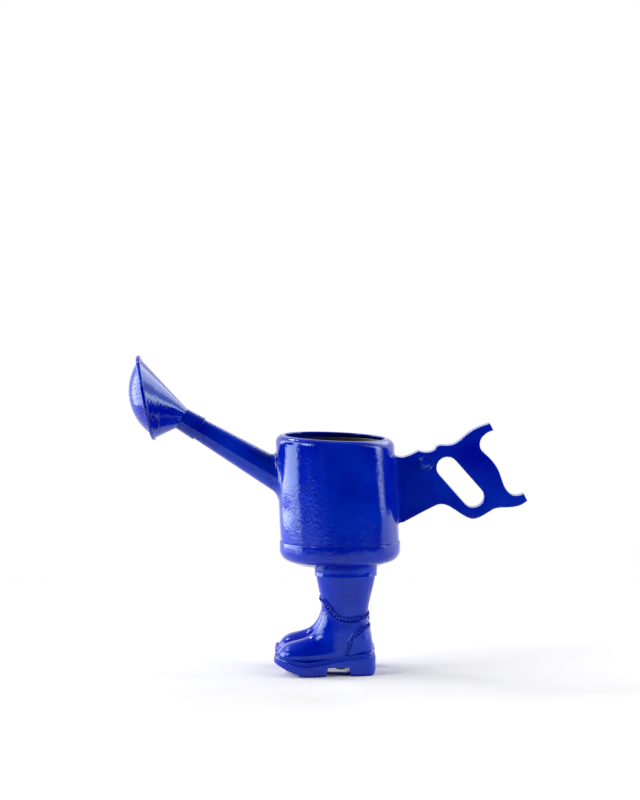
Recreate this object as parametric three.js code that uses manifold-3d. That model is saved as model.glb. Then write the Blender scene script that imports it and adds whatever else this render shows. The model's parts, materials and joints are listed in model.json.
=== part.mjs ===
// A watering can that stands on a pair of wellington boots, with a panel-saw handle and an oblique rose.
// Units are millimetres. +Z is up, -X is the way the rose and the toes point, +X is the handle, and the
// boots stand to either side of the XZ plane. The origin is the middle of the footprint, on the ground.
import * as THREE from "three";
import { mergeVertices } from "three/addons/utils/BufferGeometryUtils.js";
import Module from "manifold-3d";

const wasm = await Module();
wasm.setup();

const GAP = 0.3; // left between pieces that touch
const ROUND_SIDES = 44; // facets round the drum and the pan
const ROSE_SIDES = 36;
const rad = THREE.MathUtils.degToRad;

// ---- driving dimensions ------------------------------------------------------------------------------

// base pan: the shallow dish under the drum
const PAN_RADIUS = 90.8;
const PAN_BOTTOM = 161.5;
const PAN_HEIGHT = 34.5;
const PAN_CORNER = 18;
const PAN_UNDERSIDE_RISE = 3.5; // the underside slopes up from its flat middle to the corner
const PAN_FLAT_RADIUS = 67;
const PAN_WALL = 4;
const PAN_FLOOR = 4;
const PAN_EDGE = 1.5;

// drum: the can's wall, with its rolled shoulder and mouth
const DRUM_RADIUS = 89.2;
const DRUM_WALL = 3;
const DRUM_HEIGHT = 157; // from the pan's edge to the top of the lip
const DRUM_SKIRT = 13; // the part that sits down inside the pan
const SHOULDER_RADIUS = 12;
const MOUTH_RADIUS = 75;
const DRUM_LEAN = -8; // how far the mouth sits towards the spout
const MOUTH_TILT = 2.3; // degrees, down towards the handle

// liner: the loose inner pot, and the ring that it stands on
const LINER_CLEARANCE = 0.9;
const LINER_WALL = 2;
const LINER_DRAFT = 6;
const LINER_BELOW_LIP = 8;
const LINER_RIM_HEIGHT = 4;
const LINER_RIM_DEPTH = 1.8;
const REST_HEIGHT = 13;
const REST_WIDTH = 8;
const REST_RADIUS = 62;

// spout, measured along its own axis from the ferrule's front end, which is 0, back towards the can
const SPOUT_ANGLE = 30.6; // degrees above level
const SPOUT_MOUTH = [-237.9, 379.8]; // x and z of the ferrule's front end
const SPOUT_TIP_RADIUS = 14.8;
const SPOUT_TAPER = 0.0527; // growth in radius for each mm along the axis
const SPOUT_WALL = 2;
const SPOUT_END_INSET = 3;
const SADDLE_RADIUS = 4.5; // how far the flared saddle spreads on the drum
const SADDLE_LENGTH = 13;

// rose: ferrule, cone, perforated dome and rolled rim
const FERRULE_LENGTH = 31.3;
const FERRULE_REAR_RADIUS = 18.45;
const FERRULE_FRONT_RADIUS = 16.9;
const FERRULE_LIP = 2;
const SEAL_THICKNESS = 1.5;
const SPIGOT_RADIUS = 10.6;
const SPIGOT_LENGTH = 1.7;
const ROSE_DISTANCE = 61.4; // from the ferrule's front end to the middle of the rim
const ROSE_NORMAL_DROP = 11; // degrees that the rose faces below level
const ROSE_RADIUS = 65; // to the outside of the rolled rim
const ROSE_RIM_SECTION = 3.4;
const ROSE_SHEET = 1.2;
const DOME_HEIGHT = 25.5;
const HOLE_RADIUS = 1.2;
const HOLE_RINGS = [
  { radius: 50, count: 16 },
  { radius: 33, count: 10 },
  { radius: 16, count: 5 },
];

// saw handle: a flat slab with a slanted hand slot
const HANDLE_THICKNESS = 28;
const HANDLE_EDGE = 2.5; // rounding of its edges
const HANDLE_STANDOFF = 6.3; // from the drum's skin to the slab's root
const SLOT_RADIUS = 16.3;
const SLOT_UPPER = [65.6, 306.6]; // distance out from the root, and height
const SLOT_LOWER = [104.2, 262.9];
const HANDLE_SADDLE_FLARE = 13;
const SAW_SCREW = [33.3, 314];
const SAW_SCREW_HEAD_RADIUS = 11.4;
const SAW_SCREW_HEAD_HEIGHT = 2.4;
const SAW_SCREW_SHANK_RADIUS = 4;
const SAW_SCREW_STUD_RADIUS = 2.2;
const SAW_SCREW_STUD_LENGTH = 10;
const SCREW_RADIUS = 3;
const SCREW_REACH = 26; // how far the screws go into the handle slab
const SCREW_HEIGHTS = [250, 298];
const SCREW_HEAD_RADIUS = 5;
const SCREW_HEAD_HEIGHT = 3.3;
const SCREW_WASHER_RADIUS = 7;
const SCREW_WASHER_THICKNESS = 1.2;

// boots, each in its own frame: u runs from the ankle's axis to the toe, z is up from the ground
const BOOT_X = 9;
const BOOT_SPREAD = 41; // from the mid-plane to the ankle's axis
const TOE_OUT = 6; // degrees
const OUTSOLE_ARCH = 13; // clearance under the waist
const WELT_HEIGHT = 5;
const WELT_INSET = 2;
const HEM_BOTTOM = 148;
const HEM_PROUD = 1.6;
const STRAP_PROUD = 1.6;
const STRAP_WIDTH = 9;
const TIE_BOLT_U = 8;
const TIE_BOLT_RADIUS = 4;
const TIE_BOLT_HEAD_ACROSS = 13;
const TIE_BOLT_HEAD_HEIGHT = 5.3;
const TIE_NUT_HEIGHT = 6.5;
const TIE_WASHER_RADIUS = 8;
const TIE_WASHER_THICKNESS = 1.6;
const BOLT_CLEARANCE = 0.4;

// ---- sizes that follow --------------------------------------------------------------------------------

const PAN_TOP = PAN_BOTTOM + PAN_HEIGHT;
const PAN_FLOOR_TOP = PAN_BOTTOM + PAN_FLOOR;
const LIP_TOP = PAN_TOP + DRUM_HEIGHT;
const DRUM_FOOT = PAN_TOP - DRUM_SKIRT;
const SHOULDER_FOOT = LIP_TOP - SHOULDER_RADIUS;
const WALL_MIDDLE = (PAN_TOP + SHOULDER_FOOT) / 2;
const REST_TOP = PAN_FLOOR_TOP + GAP + REST_HEIGHT;
const LINER_RADIUS = MOUTH_RADIUS - LINER_CLEARANCE;
const HANDLE_ROOT_X = DRUM_RADIUS + HANDLE_STANDOFF;

// ---- shared helpers -----------------------------------------------------------------------------------

const group = new THREE.Group();

function solid(geometry) {
  const bare = geometry.clone();
  bare.deleteAttribute("normal");
  bare.deleteAttribute("uv");
  const merged = mergeVertices(bare, 1e-4);
  const mesh = new wasm.Mesh({
    numProp: 3,
    vertProperties: merged.attributes.position.array,
    triVerts: new Uint32Array(merged.index.array),
  });
  return new wasm.Manifold(mesh);
}

function geometryOf(manifold) {
  const mesh = manifold.getMesh();
  const geometry = new THREE.BufferGeometry();
  geometry.setAttribute("position", new THREE.BufferAttribute(mesh.vertProperties, 3));
  geometry.setIndex(new THREE.BufferAttribute(mesh.triVerts, 1));
  return geometry;
}

// A solid of revolution about Z from a closed profile of [radius, z] points.
function revolve(profile, segments) {
  const closed = [...profile, profile[0]];
  const area = closed.slice(1).reduce((sum, [r, z], i) => sum + closed[i][0] * z - r * closed[i][1], 0);
  const ordered = area > 0 ? closed : closed.reverse();
  const points = ordered.map(([r, z]) => new THREE.Vector2(r, z));
  return new THREE.LatheGeometry(points, segments).rotateX(Math.PI / 2);
}

// Points along a quarter-like arc, both ends included.
function arc(centreR, centreZ, radius, fromDegrees, toDegrees, steps) {
  return Array.from({ length: steps + 1 }, (_, i) => {
    const a = rad(fromDegrees + ((toDegrees - fromDegrees) * i) / steps);
    return [centreR + radius * Math.cos(a), centreZ + radius * Math.sin(a)];
  });
}

function disc(radius, fromZ, toZ, segments) {
  return new THREE.CylinderGeometry(radius, radius, toZ - fromZ, segments)
    .rotateX(Math.PI / 2)
    .translate(0, 0, (fromZ + toZ) / 2);
}

function ring(innerRadius, outerRadius, fromZ, toZ, segments) {
  const profile = [[innerRadius, fromZ], [outerRadius, fromZ], [outerRadius, toZ], [innerRadius, toZ]];
  return revolve(profile, segments);
}

// A slab whose outline lies in the XZ plane, from y = near to y = far.
function sideSlab(shape, near, far, bevel = 0) {
  const options = { depth: far - near - 2 * bevel, curveSegments: 8, bevelEnabled: bevel > 0 };
  Object.assign(options, { bevelSize: bevel, bevelThickness: bevel, bevelOffset: -bevel,
    bevelSegments: 1 });
  return new THREE.ExtrudeGeometry(shape, options).translate(0, 0,
    bevel).rotateX(Math.PI / 2).translate(0, far, 0);
}

function shapeOf(points) {
  return new THREE.Shape(points.map(([x, y]) => new THREE.Vector2(x, y)));
}

function splineThrough(points, steps) {
  return new THREE.SplineCurve(points.map(([x, y]) => new THREE.Vector2(x, y)))
    .getPoints(steps)
    .map((p) => [p.x, p.y]);
}

function add(name, geometry, material, parent = group) {
  const mesh = new THREE.Mesh(geometry, material);
  mesh.name = name;
  parent.add(mesh);
  return mesh;
}

const lacquer = new THREE.MeshStandardMaterial({ color: 0x0a1fa8, roughness: 0.15, metalness: 0 });
const linerPlastic = new THREE.MeshStandardMaterial({ color: 0x08080a, roughness: 0.6, metalness: 0 });
const rubber = new THREE.MeshStandardMaterial({ color: 0x141414, roughness: 0.8, metalness: 0 });
const steel = new THREE.MeshStandardMaterial({ color: 0xa8abb0, roughness: 0.35, metalness: 1 });

// ---- drum, pan and liner ------------------------------------------------------------------------------

// The drum leans towards the spout and its mouth dips towards the handle.
function leaned(geometry) {
  const at = geometry.attributes.position;
  const slope = Math.tan(rad(MOUTH_TILT));
  for (let i = 0; i < at.count; i++) {
    const share = THREE.MathUtils.clamp((at.getZ(i) - PAN_TOP) / DRUM_HEIGHT, 0, 1.2);
    const x = at.getX(i);
    at.setXYZ(i, x + DRUM_LEAN * share, at.getY(i), at.getZ(i) - slope * x * share ** 2);
  }
  return geometry;
}

function drumProfile() {
  const inner = DRUM_RADIUS - DRUM_WALL;
  const skirt = PAN_RADIUS - PAN_WALL - GAP;
  return [
    [skirt - DRUM_WALL, DRUM_FOOT],
    [skirt, DRUM_FOOT],
    [skirt, PAN_TOP + GAP],
    [DRUM_RADIUS, PAN_TOP + GAP],
    [DRUM_RADIUS, WALL_MIDDLE],
    ...arc(DRUM_RADIUS - SHOULDER_RADIUS, SHOULDER_FOOT, SHOULDER_RADIUS, 0, 90, 4),
    [MOUTH_RADIUS, LIP_TOP - DRUM_WALL / 2],
    ...arc(DRUM_RADIUS - SHOULDER_RADIUS, SHOULDER_FOOT, SHOULDER_RADIUS - DRUM_WALL, 90, 0, 2),
    [inner, WALL_MIDDLE],
    [inner, PAN_TOP + GAP + DRUM_WALL],
    [skirt - DRUM_WALL, PAN_TOP + GAP],
  ];
}

// The space that the drum's outer skin bounds, used to trim what is fastened to it.
function drumSpace(grow) {
  const radius = DRUM_RADIUS + grow;
  const rows = [PAN_BOTTOM, PAN_TOP + GAP, WALL_MIDDLE, SHOULDER_FOOT, LIP_TOP];
  return solid(leaned(revolve([[0, PAN_BOTTOM], ...rows.map((z) => [radius, z]), [0, LIP_TOP]],
    ROUND_SIDES)));
}

function panOutside(grow) {
  const corner = PAN_BOTTOM + PAN_UNDERSIDE_RISE + PAN_CORNER;
  return [
    [0, PAN_BOTTOM - grow],
    [PAN_FLAT_RADIUS, PAN_BOTTOM - grow],
    ...arc(PAN_RADIUS - PAN_CORNER, corner, PAN_CORNER + grow, -90, 0, 4),
  ];
}

function panProfile() {
  const corner = PAN_BOTTOM + PAN_UNDERSIDE_RISE + PAN_CORNER;
  return [
    ...panOutside(0),
    ...arc(PAN_RADIUS - PAN_EDGE, PAN_TOP - PAN_EDGE, PAN_EDGE, 0, 90, 2),
    [PAN_RADIUS - PAN_WALL, PAN_TOP],
    ...arc(PAN_RADIUS - PAN_CORNER, corner, PAN_CORNER - PAN_WALL, 0, -90, 2),
    [PAN_FLAT_RADIUS, PAN_FLOOR_TOP],
    [0, PAN_FLOOR_TOP],
  ];
}

// The space above the pan's underside, which trims the tops of the legs.
function panSpace() {
  const profile = [...panOutside(GAP), [PAN_RADIUS + 60, PAN_TOP], [0, PAN_TOP]];
  return solid(revolve(profile, ROUND_SIDES));
}

function linerProfile() {
  const top = LIP_TOP - LINER_BELOW_LIP;
  const body = LINER_RADIUS - LINER_RIM_DEPTH;
  const foot = body - LINER_DRAFT;
  const floor = REST_TOP + GAP;
  return [
    [0, floor],
    ...arc(foot - 4, floor + 4, 4, -90, 0, 2),
    [body, top - LINER_RIM_HEIGHT],
    [LINER_RADIUS, top - LINER_RIM_HEIGHT],
    [LINER_RADIUS, top],
    [body - LINER_WALL, top],
    [foot - LINER_WALL, floor + LINER_WALL + 2],
    [0, floor + LINER_WALL],
  ];
}

// ---- spout and rose -----------------------------------------------------------------------------------

const spoutFrame = new THREE.Matrix4()
  .makeRotationY(rad(SPOUT_ANGLE - 90))
  .setPosition(SPOUT_MOUTH[0], 0, SPOUT_MOUTH[1]);
const alongSpout = new THREE.Vector3(-Math.cos(rad(SPOUT_ANGLE)), 0, Math.sin(rad(SPOUT_ANGLE)));

function onSpout(geometry) {
  return geometry.applyMatrix4(spoutFrame);
}

function spoutRadius(s) {
  return SPOUT_TIP_RADIUS - SPOUT_TAPER * s;
}

const SPOUT_REACH = (SPOUT_MOUTH[0] + DRUM_RADIUS * 0.75) / Math.cos(rad(SPOUT_ANGLE)); // inside the drum

function spoutProfile() {
  const tip = -SPOUT_END_INSET - SEAL_THICKNESS;
  return [
    [spoutRadius(SPOUT_REACH) - SPOUT_WALL, SPOUT_REACH],
    [spoutRadius(SPOUT_REACH), SPOUT_REACH],
    [spoutRadius(tip), tip],
    [spoutRadius(tip) - SPOUT_WALL, tip],
  ];
}

// What the spout fills, with a clearance, to cut the hole in the drum.
function spoutCore(clearance) {
  const radius = (s) => spoutRadius(s) + clearance;
  return solid(onSpout(revolve([[0, SPOUT_REACH - 5], [radius(SPOUT_REACH), SPOUT_REACH - 5],
    [radius(0), 0], [0, 0]], 32)));
}

const SADDLE_FOOT = (SPOUT_MOUTH[0] + DRUM_RADIUS) / Math.cos(rad(SPOUT_ANGLE)); // near the drum's skin

function saddleProfile() {
  const start = SADDLE_FOOT - 26;
  const curve = Array.from({ length: 7 }, (_, i) => {
    const share = i / 6;
    const s = SADDLE_FOOT - 6 + SADDLE_LENGTH * share;
    return [spoutRadius(s) + GAP + 0.8 + SADDLE_RADIUS * (1 - share) ** 2.2, s];
  });
  const end = curve[curve.length - 1][1];
  return [
    [spoutRadius(start) + GAP, start],
    [spoutRadius(start) + SADDLE_RADIUS + 3, start],
    ...curve,
    [spoutRadius(end) + GAP, end],
  ];
}

const FERRULE_BORE = SPIGOT_RADIUS + GAP;

function ferruleProfile() {
  return [
    [spoutRadius(-FERRULE_LENGTH) + GAP, -FERRULE_LENGTH],
    [FERRULE_REAR_RADIUS, -FERRULE_LENGTH],
    [FERRULE_FRONT_RADIUS, 0],
    [FERRULE_BORE, 0],
    [FERRULE_BORE, -FERRULE_LIP],
    [spoutRadius(-FERRULE_LIP) + GAP, -FERRULE_LIP],
  ];
}

// The rose's own frame: its middle, the way it faces, and the down-slope direction in its rim's plane.
const roseMiddle = new THREE.Vector3(SPOUT_MOUTH[0], 0, SPOUT_MOUTH[1]).addScaledVector(alongSpout,
  ROSE_DISTANCE);
const roseTurn = rad(-90 - ROSE_NORMAL_DROP);
const roseFrame = new THREE.Matrix4().makeRotationY(roseTurn).setPosition(roseMiddle);

function onRose(geometry) {
  return geometry.applyMatrix4(roseFrame);
}

const RIM_MIDDLE = ROSE_RADIUS - ROSE_RIM_SECTION;
const DOME_RADIUS = RIM_MIDDLE - ROSE_RIM_SECTION;

// A skew cone between the ferrule's round face and the tilted rim, made from an unrolled cylinder.
function skewCone(shrink, from, to) {
  const geometry = new THREE.CylinderGeometry(1, 1, 1, ROSE_SIDES, 1);
  const at = geometry.attributes.position;
  const neck = new THREE.Vector3();
  const rim = new THREE.Vector3();
  for (let i = 0; i < at.count; i++) {
    const share = THREE.MathUtils.lerp(from, to, at.getY(i) + 0.5);
    const [c, s] = [at.getX(i), -at.getZ(i)];
    neck.set((FERRULE_FRONT_RADIUS - shrink) * c, (FERRULE_FRONT_RADIUS - shrink) * s,
      GAP).applyMatrix4(spoutFrame);
    rim.set((DOME_RADIUS - shrink) * c, (DOME_RADIUS - shrink) * s,
      -ROSE_SHEET / 2 - GAP).applyMatrix4(roseFrame);
    at.setXYZ(i, ...neck.lerp(rim, share).toArray());
  }
  return solid(geometry);
}

function roseCone() {
  const flange = ring(DOME_RADIUS - 4, DOME_RADIUS + 2.4, -ROSE_SHEET - GAP, -GAP, ROSE_SIDES);
  const spigot = ring(SPIGOT_RADIUS - SPOUT_WALL, SPIGOT_RADIUS, -SPIGOT_LENGTH, GAP + 1, 24);
  const bore = disc(SPIGOT_RADIUS - SPOUT_WALL, -SPIGOT_LENGTH - 5, GAP + 12, 24);
  const skin = skewCone(0, 0, 1).subtract(skewCone(ROSE_SHEET + 0.4, 0.04,
    1.2)).subtract(solid(onSpout(bore)));
  return skin.add(solid(onRose(flange))).add(solid(onSpout(spigot)));
}

function domeProfile() {
  const curve = (DOME_RADIUS ** 2 + DOME_HEIGHT ** 2) / (2 * DOME_HEIGHT);
  const height = (r, c) => Math.sqrt(c ** 2 - r ** 2) - (curve - DOME_HEIGHT);
  const steps = 5;
  const outside = Array.from({ length: steps }, (_, i) => (DOME_RADIUS * (steps - 0.35 - i)) / steps);
  const inside = outside.slice().reverse().slice(1);
  return [
    [0, height(0, curve) - ROSE_SHEET],
    ...inside.map((r) => [r, height(r, curve) - ROSE_SHEET]),
    [DOME_RADIUS - 4, 0],
    [DOME_RADIUS + 2.4, 0],
    [DOME_RADIUS + 2.4, ROSE_SHEET],
    [DOME_RADIUS - 2.6, ROSE_SHEET],
    ...outside.slice(0, -1).map((r) => [r, height(r, curve)]),
    [0, height(0, curve)],
  ];
}

function rosePlate() {
  const plate = solid(revolve(domeProfile(), ROSE_SIDES));
  const drill = (x, y) => solid(disc(HOLE_RADIUS, -1, DOME_HEIGHT + 5, 5).translate(x, y, 0));
  const centre = drill(0, 0);
  const holes = HOLE_RINGS.flatMap(({ radius, count }) =>
    Array.from({ length: count }, (_, i) => {
      const a = (2 * Math.PI * (i + 0.5)) / count;
      return drill(radius * Math.cos(a), radius * Math.sin(a));
    }));
  return onRose(geometryOf(holes.reduce((rest, hole) => rest.subtract(hole), plate.subtract(centre))));
}

function rimProfile() {
  const slotHalf = ROSE_SHEET + GAP * 1.5;
  const slotEnd = DOME_RADIUS + 2.4 + GAP;
  const open = Math.asin(slotHalf / ROSE_RIM_SECTION) * THREE.MathUtils.RAD2DEG;
  return [
    [slotEnd, slotHalf],
    ...arc(RIM_MIDDLE, 0, ROSE_RIM_SECTION, 180 - open, open - 180, 7),
    [slotEnd, -slotHalf],
  ];
}

// ---- saw handle ---------------------------------------------------------------------------------------

// The slab's outline, from the root's top corner over the upper horn, the grip and the lower horn. Each
// point is its distance out from the root, and its height.
function handleOutline() {
  const brow = splineThrough([[22.5, 332.5], [28.5, 330], [34.5, 329.6], [40.5, 330.5], [45.5, 333],
    [49.5, 338]], 8);
  const hornTop = splineThrough(
    [[54.5, 340.3], [61.5, 340.4], [69.5, 340.4], [76.5, 342.6], [84.5, 348], [92.5, 355],
      [100.5, 361], [109.5, 366], [129, 373.3]], 16);
  const grip = splineThrough(
    [[134.3, 363], [127.5, 360.6], [121.5, 356.5], [116, 350], [114.1, 341.8], [116, 334],
      [121.5, 328], [128.5, 321.5],
      [135.5, 313.5], [142, 303], [146.5, 291], [151, 279], [156.5, 270.5], [164, 265.2],
        [171.5, 264.6], [180.7, 267]], 30);
  const belly = splineThrough(
    [[185.5, 256.8], [176.5, 251], [166.5, 248], [155.5, 247], [144.5, 246.6], [136.5, 245],
      [127.5, 240], [117.5, 234], [110.5, 231],
      [104, 229.8], [96.5, 231.6], [87.5, 236.4], [76.5, 243.6], [67.5, 249], [59.5, 251.6],
        [52.5, 251.4], [45.5, 248.6]], 34);
  const outline = [[0, 322.3], [9.5, 325.5], ...brow, ...hornTop, ...grip, ...belly, [0, 224.8]];
  return outline.map(([out, z]) => [HANDLE_ROOT_X + out, z]);
}

function slotPath() {
  const along = Math.atan2(SLOT_LOWER[1] - SLOT_UPPER[1], SLOT_LOWER[0] - SLOT_UPPER[0]);
  const [upperX, lowerX] = [HANDLE_ROOT_X + SLOT_UPPER[0], HANDLE_ROOT_X + SLOT_LOWER[0]];
  const [left, right] = [along + Math.PI / 2, along - Math.PI / 2];
  const path = new THREE.Path();
  path.absarc(upperX, SLOT_UPPER[1], SLOT_RADIUS, left, right, false);
  path.absarc(lowerX, SLOT_LOWER[1], SLOT_RADIUS, right, left, false);
  return path;
}

function alongX(geometry, fromX, z) {
  return geometry.rotateY(Math.PI / 2).translate(fromX, 0, z);
}

function handleSlab() {
  const shape = shapeOf(handleOutline());
  shape.holes.push(slotPath());
  const half = HANDLE_THICKNESS / 2;
  let slab = solid(sideSlab(shape, -half, half, HANDLE_EDGE));
  const bore = disc(SAW_SCREW_SHANK_RADIUS + GAP, -half - 1, half + 1, 16).rotateX(Math.PI / 2);
  slab = slab.subtract(solid(bore.translate(HANDLE_ROOT_X + SAW_SCREW[0], 0, SAW_SCREW[1])));
  for (const z of SCREW_HEIGHTS) {
    const hole = disc(SCREW_RADIUS + GAP, -1, SCREW_REACH + 1, 12);
    slab = slab.subtract(solid(alongX(hole, HANDLE_ROOT_X, z)));
  }
  return geometryOf(slab);
}

// The flared root between the slab and the drum, trimmed to the slab's own height.
function handleSaddle() {
  const half = HANDLE_THICKNESS / 2;
  const rootX = HANDLE_ROOT_X - GAP;
  const flare = Array.from({ length: 8 }, (_, i) => {
    const a = rad((90 * i) / 7);
    return [rootX - HANDLE_SADDLE_FLARE * Math.sin(a) - 0.5,
      half - HANDLE_EDGE + HANDLE_SADDLE_FLARE * (1 - Math.cos(a))];
  });
  const farX = DRUM_RADIUS - 35;
  const plan = shapeOf([
    [rootX, half - HANDLE_EDGE], ...flare, [farX, half + 10],
    [farX, -half - 10], ...flare.slice().reverse().map(([x, y]) => [x, -y]), [rootX, -half + HANDLE_EDGE],
  ]);
  const column = new THREE.ExtrudeGeometry(plan, { depth: 140, bevelEnabled: false }).translate(0, 0,
    205);
  const side = sideSlab(shapeOf([[farX, 321], [rootX, 321], [rootX, 226], [rootX - 12, 219],
    [farX, 205]]), -60, 60);
  let saddle = solid(column).intersect(solid(side)).subtract(drumSpace(GAP));
  for (const z of SCREW_HEIGHTS) {
    saddle = saddle.subtract(solid(alongX(disc(SCREW_RADIUS + GAP, 0, 60, 12), HANDLE_ROOT_X - 50, z)));
  }
  return geometryOf(saddle);
}

// How far out a flat washer can sit on the drum's curved, leaning inner face.
function washerSeat(z) {
  const facet = (DRUM_RADIUS - DRUM_WALL) * Math.cos(Math.PI / ROUND_SIDES);
  const share = (z + SCREW_WASHER_RADIUS - PAN_TOP) / DRUM_HEIGHT;
  return Math.sqrt(facet ** 2 - SCREW_WASHER_RADIUS ** 2) + DRUM_LEAN * share - GAP;
}

// A pan-head screw with its shank along +X from the head's seat.
function panScrew(reach) {
  const [r, h] = [SCREW_HEAD_RADIUS, SCREW_HEAD_HEIGHT];
  const head = [[0, -h], [r * 0.6, -h], [r, -h / 2], [r, 0]];
  return revolve([...head, [SCREW_RADIUS, 0], [SCREW_RADIUS, reach - 2], [SCREW_RADIUS / 2, reach],
    [0, reach]], 12);
}

// The saw screw: a raised ring about a flat button on a shank, with a stud that enters the nut's barrel.
function sawScrew() {
  const half = HANDLE_THICKNESS / 2 + GAP;
  const h = SAW_SCREW_HEAD_HEIGHT;
  const r = SAW_SCREW_HEAD_RADIUS;
  return revolve([
    [0, -SAW_SCREW_STUD_LENGTH], [SAW_SCREW_STUD_RADIUS, -SAW_SCREW_STUD_LENGTH],
      [SAW_SCREW_STUD_RADIUS, GAP],
    [SAW_SCREW_SHANK_RADIUS, GAP], [SAW_SCREW_SHANK_RADIUS, half], [r, half], [r, half + h * 0.6],
    [r - 1.2, half + h], [r - 2.4, half + h], [r - 3.8, half + h * 0.4], [r - 5, half + h * 0.8],
      [0, half + h * 0.8],
  ], 28);
}

// The slotted nut on the other side, whose barrel takes the screw's stud.
function sawNut() {
  const half = HANDLE_THICKNESS / 2 + GAP;
  const r = SAW_SCREW_HEAD_RADIUS;
  const face = half + SAW_SCREW_HEAD_HEIGHT;
  const bore = SAW_SCREW_STUD_RADIUS + GAP;
  const nut = solid(revolve([
    [0, SAW_SCREW_STUD_LENGTH + GAP], [bore, SAW_SCREW_STUD_LENGTH + GAP], [bore, 0],
      [SAW_SCREW_SHANK_RADIUS, 0],
    [SAW_SCREW_SHANK_RADIUS, half], [r, half], [r, face - 0.9], [r - 1, face], [0, face],
  ], 28));
  const slit = new THREE.BoxGeometry(2 * r + 2, 1.6, 2.8).translate(0, 0, face);
  return geometryOf(nut.subtract(solid(slit)));
}

// ---- boots --------------------------------------------------------------------------------------------

// Each row is one slice through the upper: front u and z, back u and z, and half its width.
const UPPER_SLICES = [
  [47.6, 170.0, -47.0, 170.0, 36.5],
  [45.8, 149.0, -45.0, 149.0, 35.5],
  [42.5, 132.0, -41.0, 131.0, 33.0],
  [38.0, 115.0, -36.0, 112.0, 30.0],
  [36.5, 100.0, -32.5, 95.0, 28.5],
  [37.6, 86.0, -32.8, 79.0, 28.5],
  [40.6, 76.0, -36.8, 64.0, 29.0],
  [45.5, 67.0, -40.2, 49.0, 29.0],
  [52.0, 60.0, -41.5, 35.0, 28.5],
  [60.0, 55.5, -36.0, 21.0, 27.5],
  [68.0, 52.8, -8.0, 17.0, 28.0],
  [76.0, 51.0, 24.0, 14.0, 30.0],
  [84.0, 49.0, 52.0, 12.0, 31.5],
  [91.0, 46.0, 74.0, 14.0, 31.0],
  [97.0, 41.0, 87.0, 17.0, 27.5],
  [101.5, 34.5, 95.0, 20.0, 21.0],
  [104.0, 29.5, 100.5, 23.5, 11.0],
];
const SOLE_TOP = [[-60, 28], [-44, 27], [-20, 25], [0, 23], [30, 18], [58, 14.5], [74, 16], [90, 20],
  [108, 26], [120, 30]];
const SOLE_PLAN = [
  [-44.5, 0], [-42, 14], [-34, 24], [-20, 27.5], [0, 27], [22, 27.5], [42, 32], [60, 34], [78, 32.5],
    [93, 26.5], [104, 15.5], [108.5, 0],
];

// A limb-like body skinned over UPPER_SLICES, swollen by grow.
function upperBody(grow) {
  const slices = new THREE.CylinderGeometry(1, 1, 1, 18, UPPER_SLICES.length - 1);
  const at = slices.attributes.position;
  const last = UPPER_SLICES.length - 1;
  for (let i = 0; i < at.count; i++) {
    const [fu, fz, bu, bz, half] = UPPER_SLICES[Math.round((0.5 - at.getY(i)) * last)];
    const [c, s] = [at.getX(i), at.getZ(i)];
    const length = Math.hypot(fu - bu, fz - bz) / 2;
    const reach = (Math.sign(c) * Math.abs(c) ** 0.88 * (length + grow)) / (length || 1);
    const u = (fu + bu) / 2 + ((fu - bu) / 2) * reach;
    const z = (fz + bz) / 2 + ((fz - bz) / 2) * reach;
    at.setXYZ(i, -u, Math.sign(s) * Math.abs(s) ** 0.88 * (half + grow), z);
  }
  return solid(slices);
}

// The region under the sole's curved top line, raised by lift, as a slab across the boot.
function underSole(lift) {
  const line = splineThrough(SOLE_TOP, 24).map(([u, z]) => [-u, z + lift]);
  return solid(sideSlab(shapeOf([[60, -60], ...line, [-120, -60]].reverse()), -60, 60));
}

function solePlan(inset, height) {
  const outer = splineThrough(SOLE_PLAN, 22);
  const inner = outer.slice(1, -1).reverse().map(([u, y]) => [u, -y]);
  const middle = 31;
  const fit = (u, y) => [-(middle + (u - middle) * (1 - inset / 75)), y * (1 - inset / 34)];
  const shape = shapeOf([...outer, ...inner].map(([u, y]) => fit(u, y)));
  return solid(new THREE.ExtrudeGeometry(shape, { depth: height, bevelEnabled: false }));
}

// The outsole's side view: flat heel and tread, an arch between them, and the toe's upward ramp.
function outsoleBody() {
  const ground = [
    [60, 7], [43, 6], [38, 0], [4, 0], [2.5, OUTSOLE_ARCH], [-30, OUTSOLE_ARCH], [-33.5, 0], [-70, 0],
      [-90, 6.5], [-106, 14], [-120, 21],
  ];
  const side = sideSlab(shapeOf([[60, 60], ...ground, [-120, 60]]), -60, 60);
  return solePlan(0, 60).intersect(solid(side)).intersect(underSole(0));
}

// A band on the upper, bounded in side view by two lines of [u, z] points.
function strap(upperLine, lowerLine, clearOf) {
  const edge = [...splineThrough(upperLine, 14), ...splineThrough(lowerLine, 14).reverse()].map(([u,
    z]) => [-u, z]);
  const region = solid(sideSlab(shapeOf(edge), -60, 60));
  return upperBody(STRAP_PROUD).subtract(upperBody(GAP)).intersect(region).subtract(clearOf);
}

const ANKLE_LINE = [[60, 121], [37, 112], [27, 100], [20, 90], [12, 84.5], [0, 83], [-12, 84],
  [-24, 88.5], [-33, 95], [-60, 104]];
const HEEL_LINE = [[6, 20], [6, 34], [3, 46], [-5, 56], [-16, 65], [-29, 73], [-60, 89]];

function offsetLine(points, width) {
  return points.map(([u, z], i) => {
    const [a, b] = [points[Math.max(i - 1, 0)], points[Math.min(i + 1, points.length - 1)]];
    const [du, dz] = [b[0] - a[0], b[1] - a[1]];
    const l = Math.hypot(du, dz);
    return [u - (dz / l) * width, z + (du / l) * width];
  });
}

function hexagon(across, fromZ, toZ) {
  return disc(across / Math.sqrt(3), fromZ, toZ, 6);
}

function tieBore(radius) {
  return solid(disc(radius, -10, 260, 16).translate(-TIE_BOLT_U, 0, 0));
}

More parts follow.
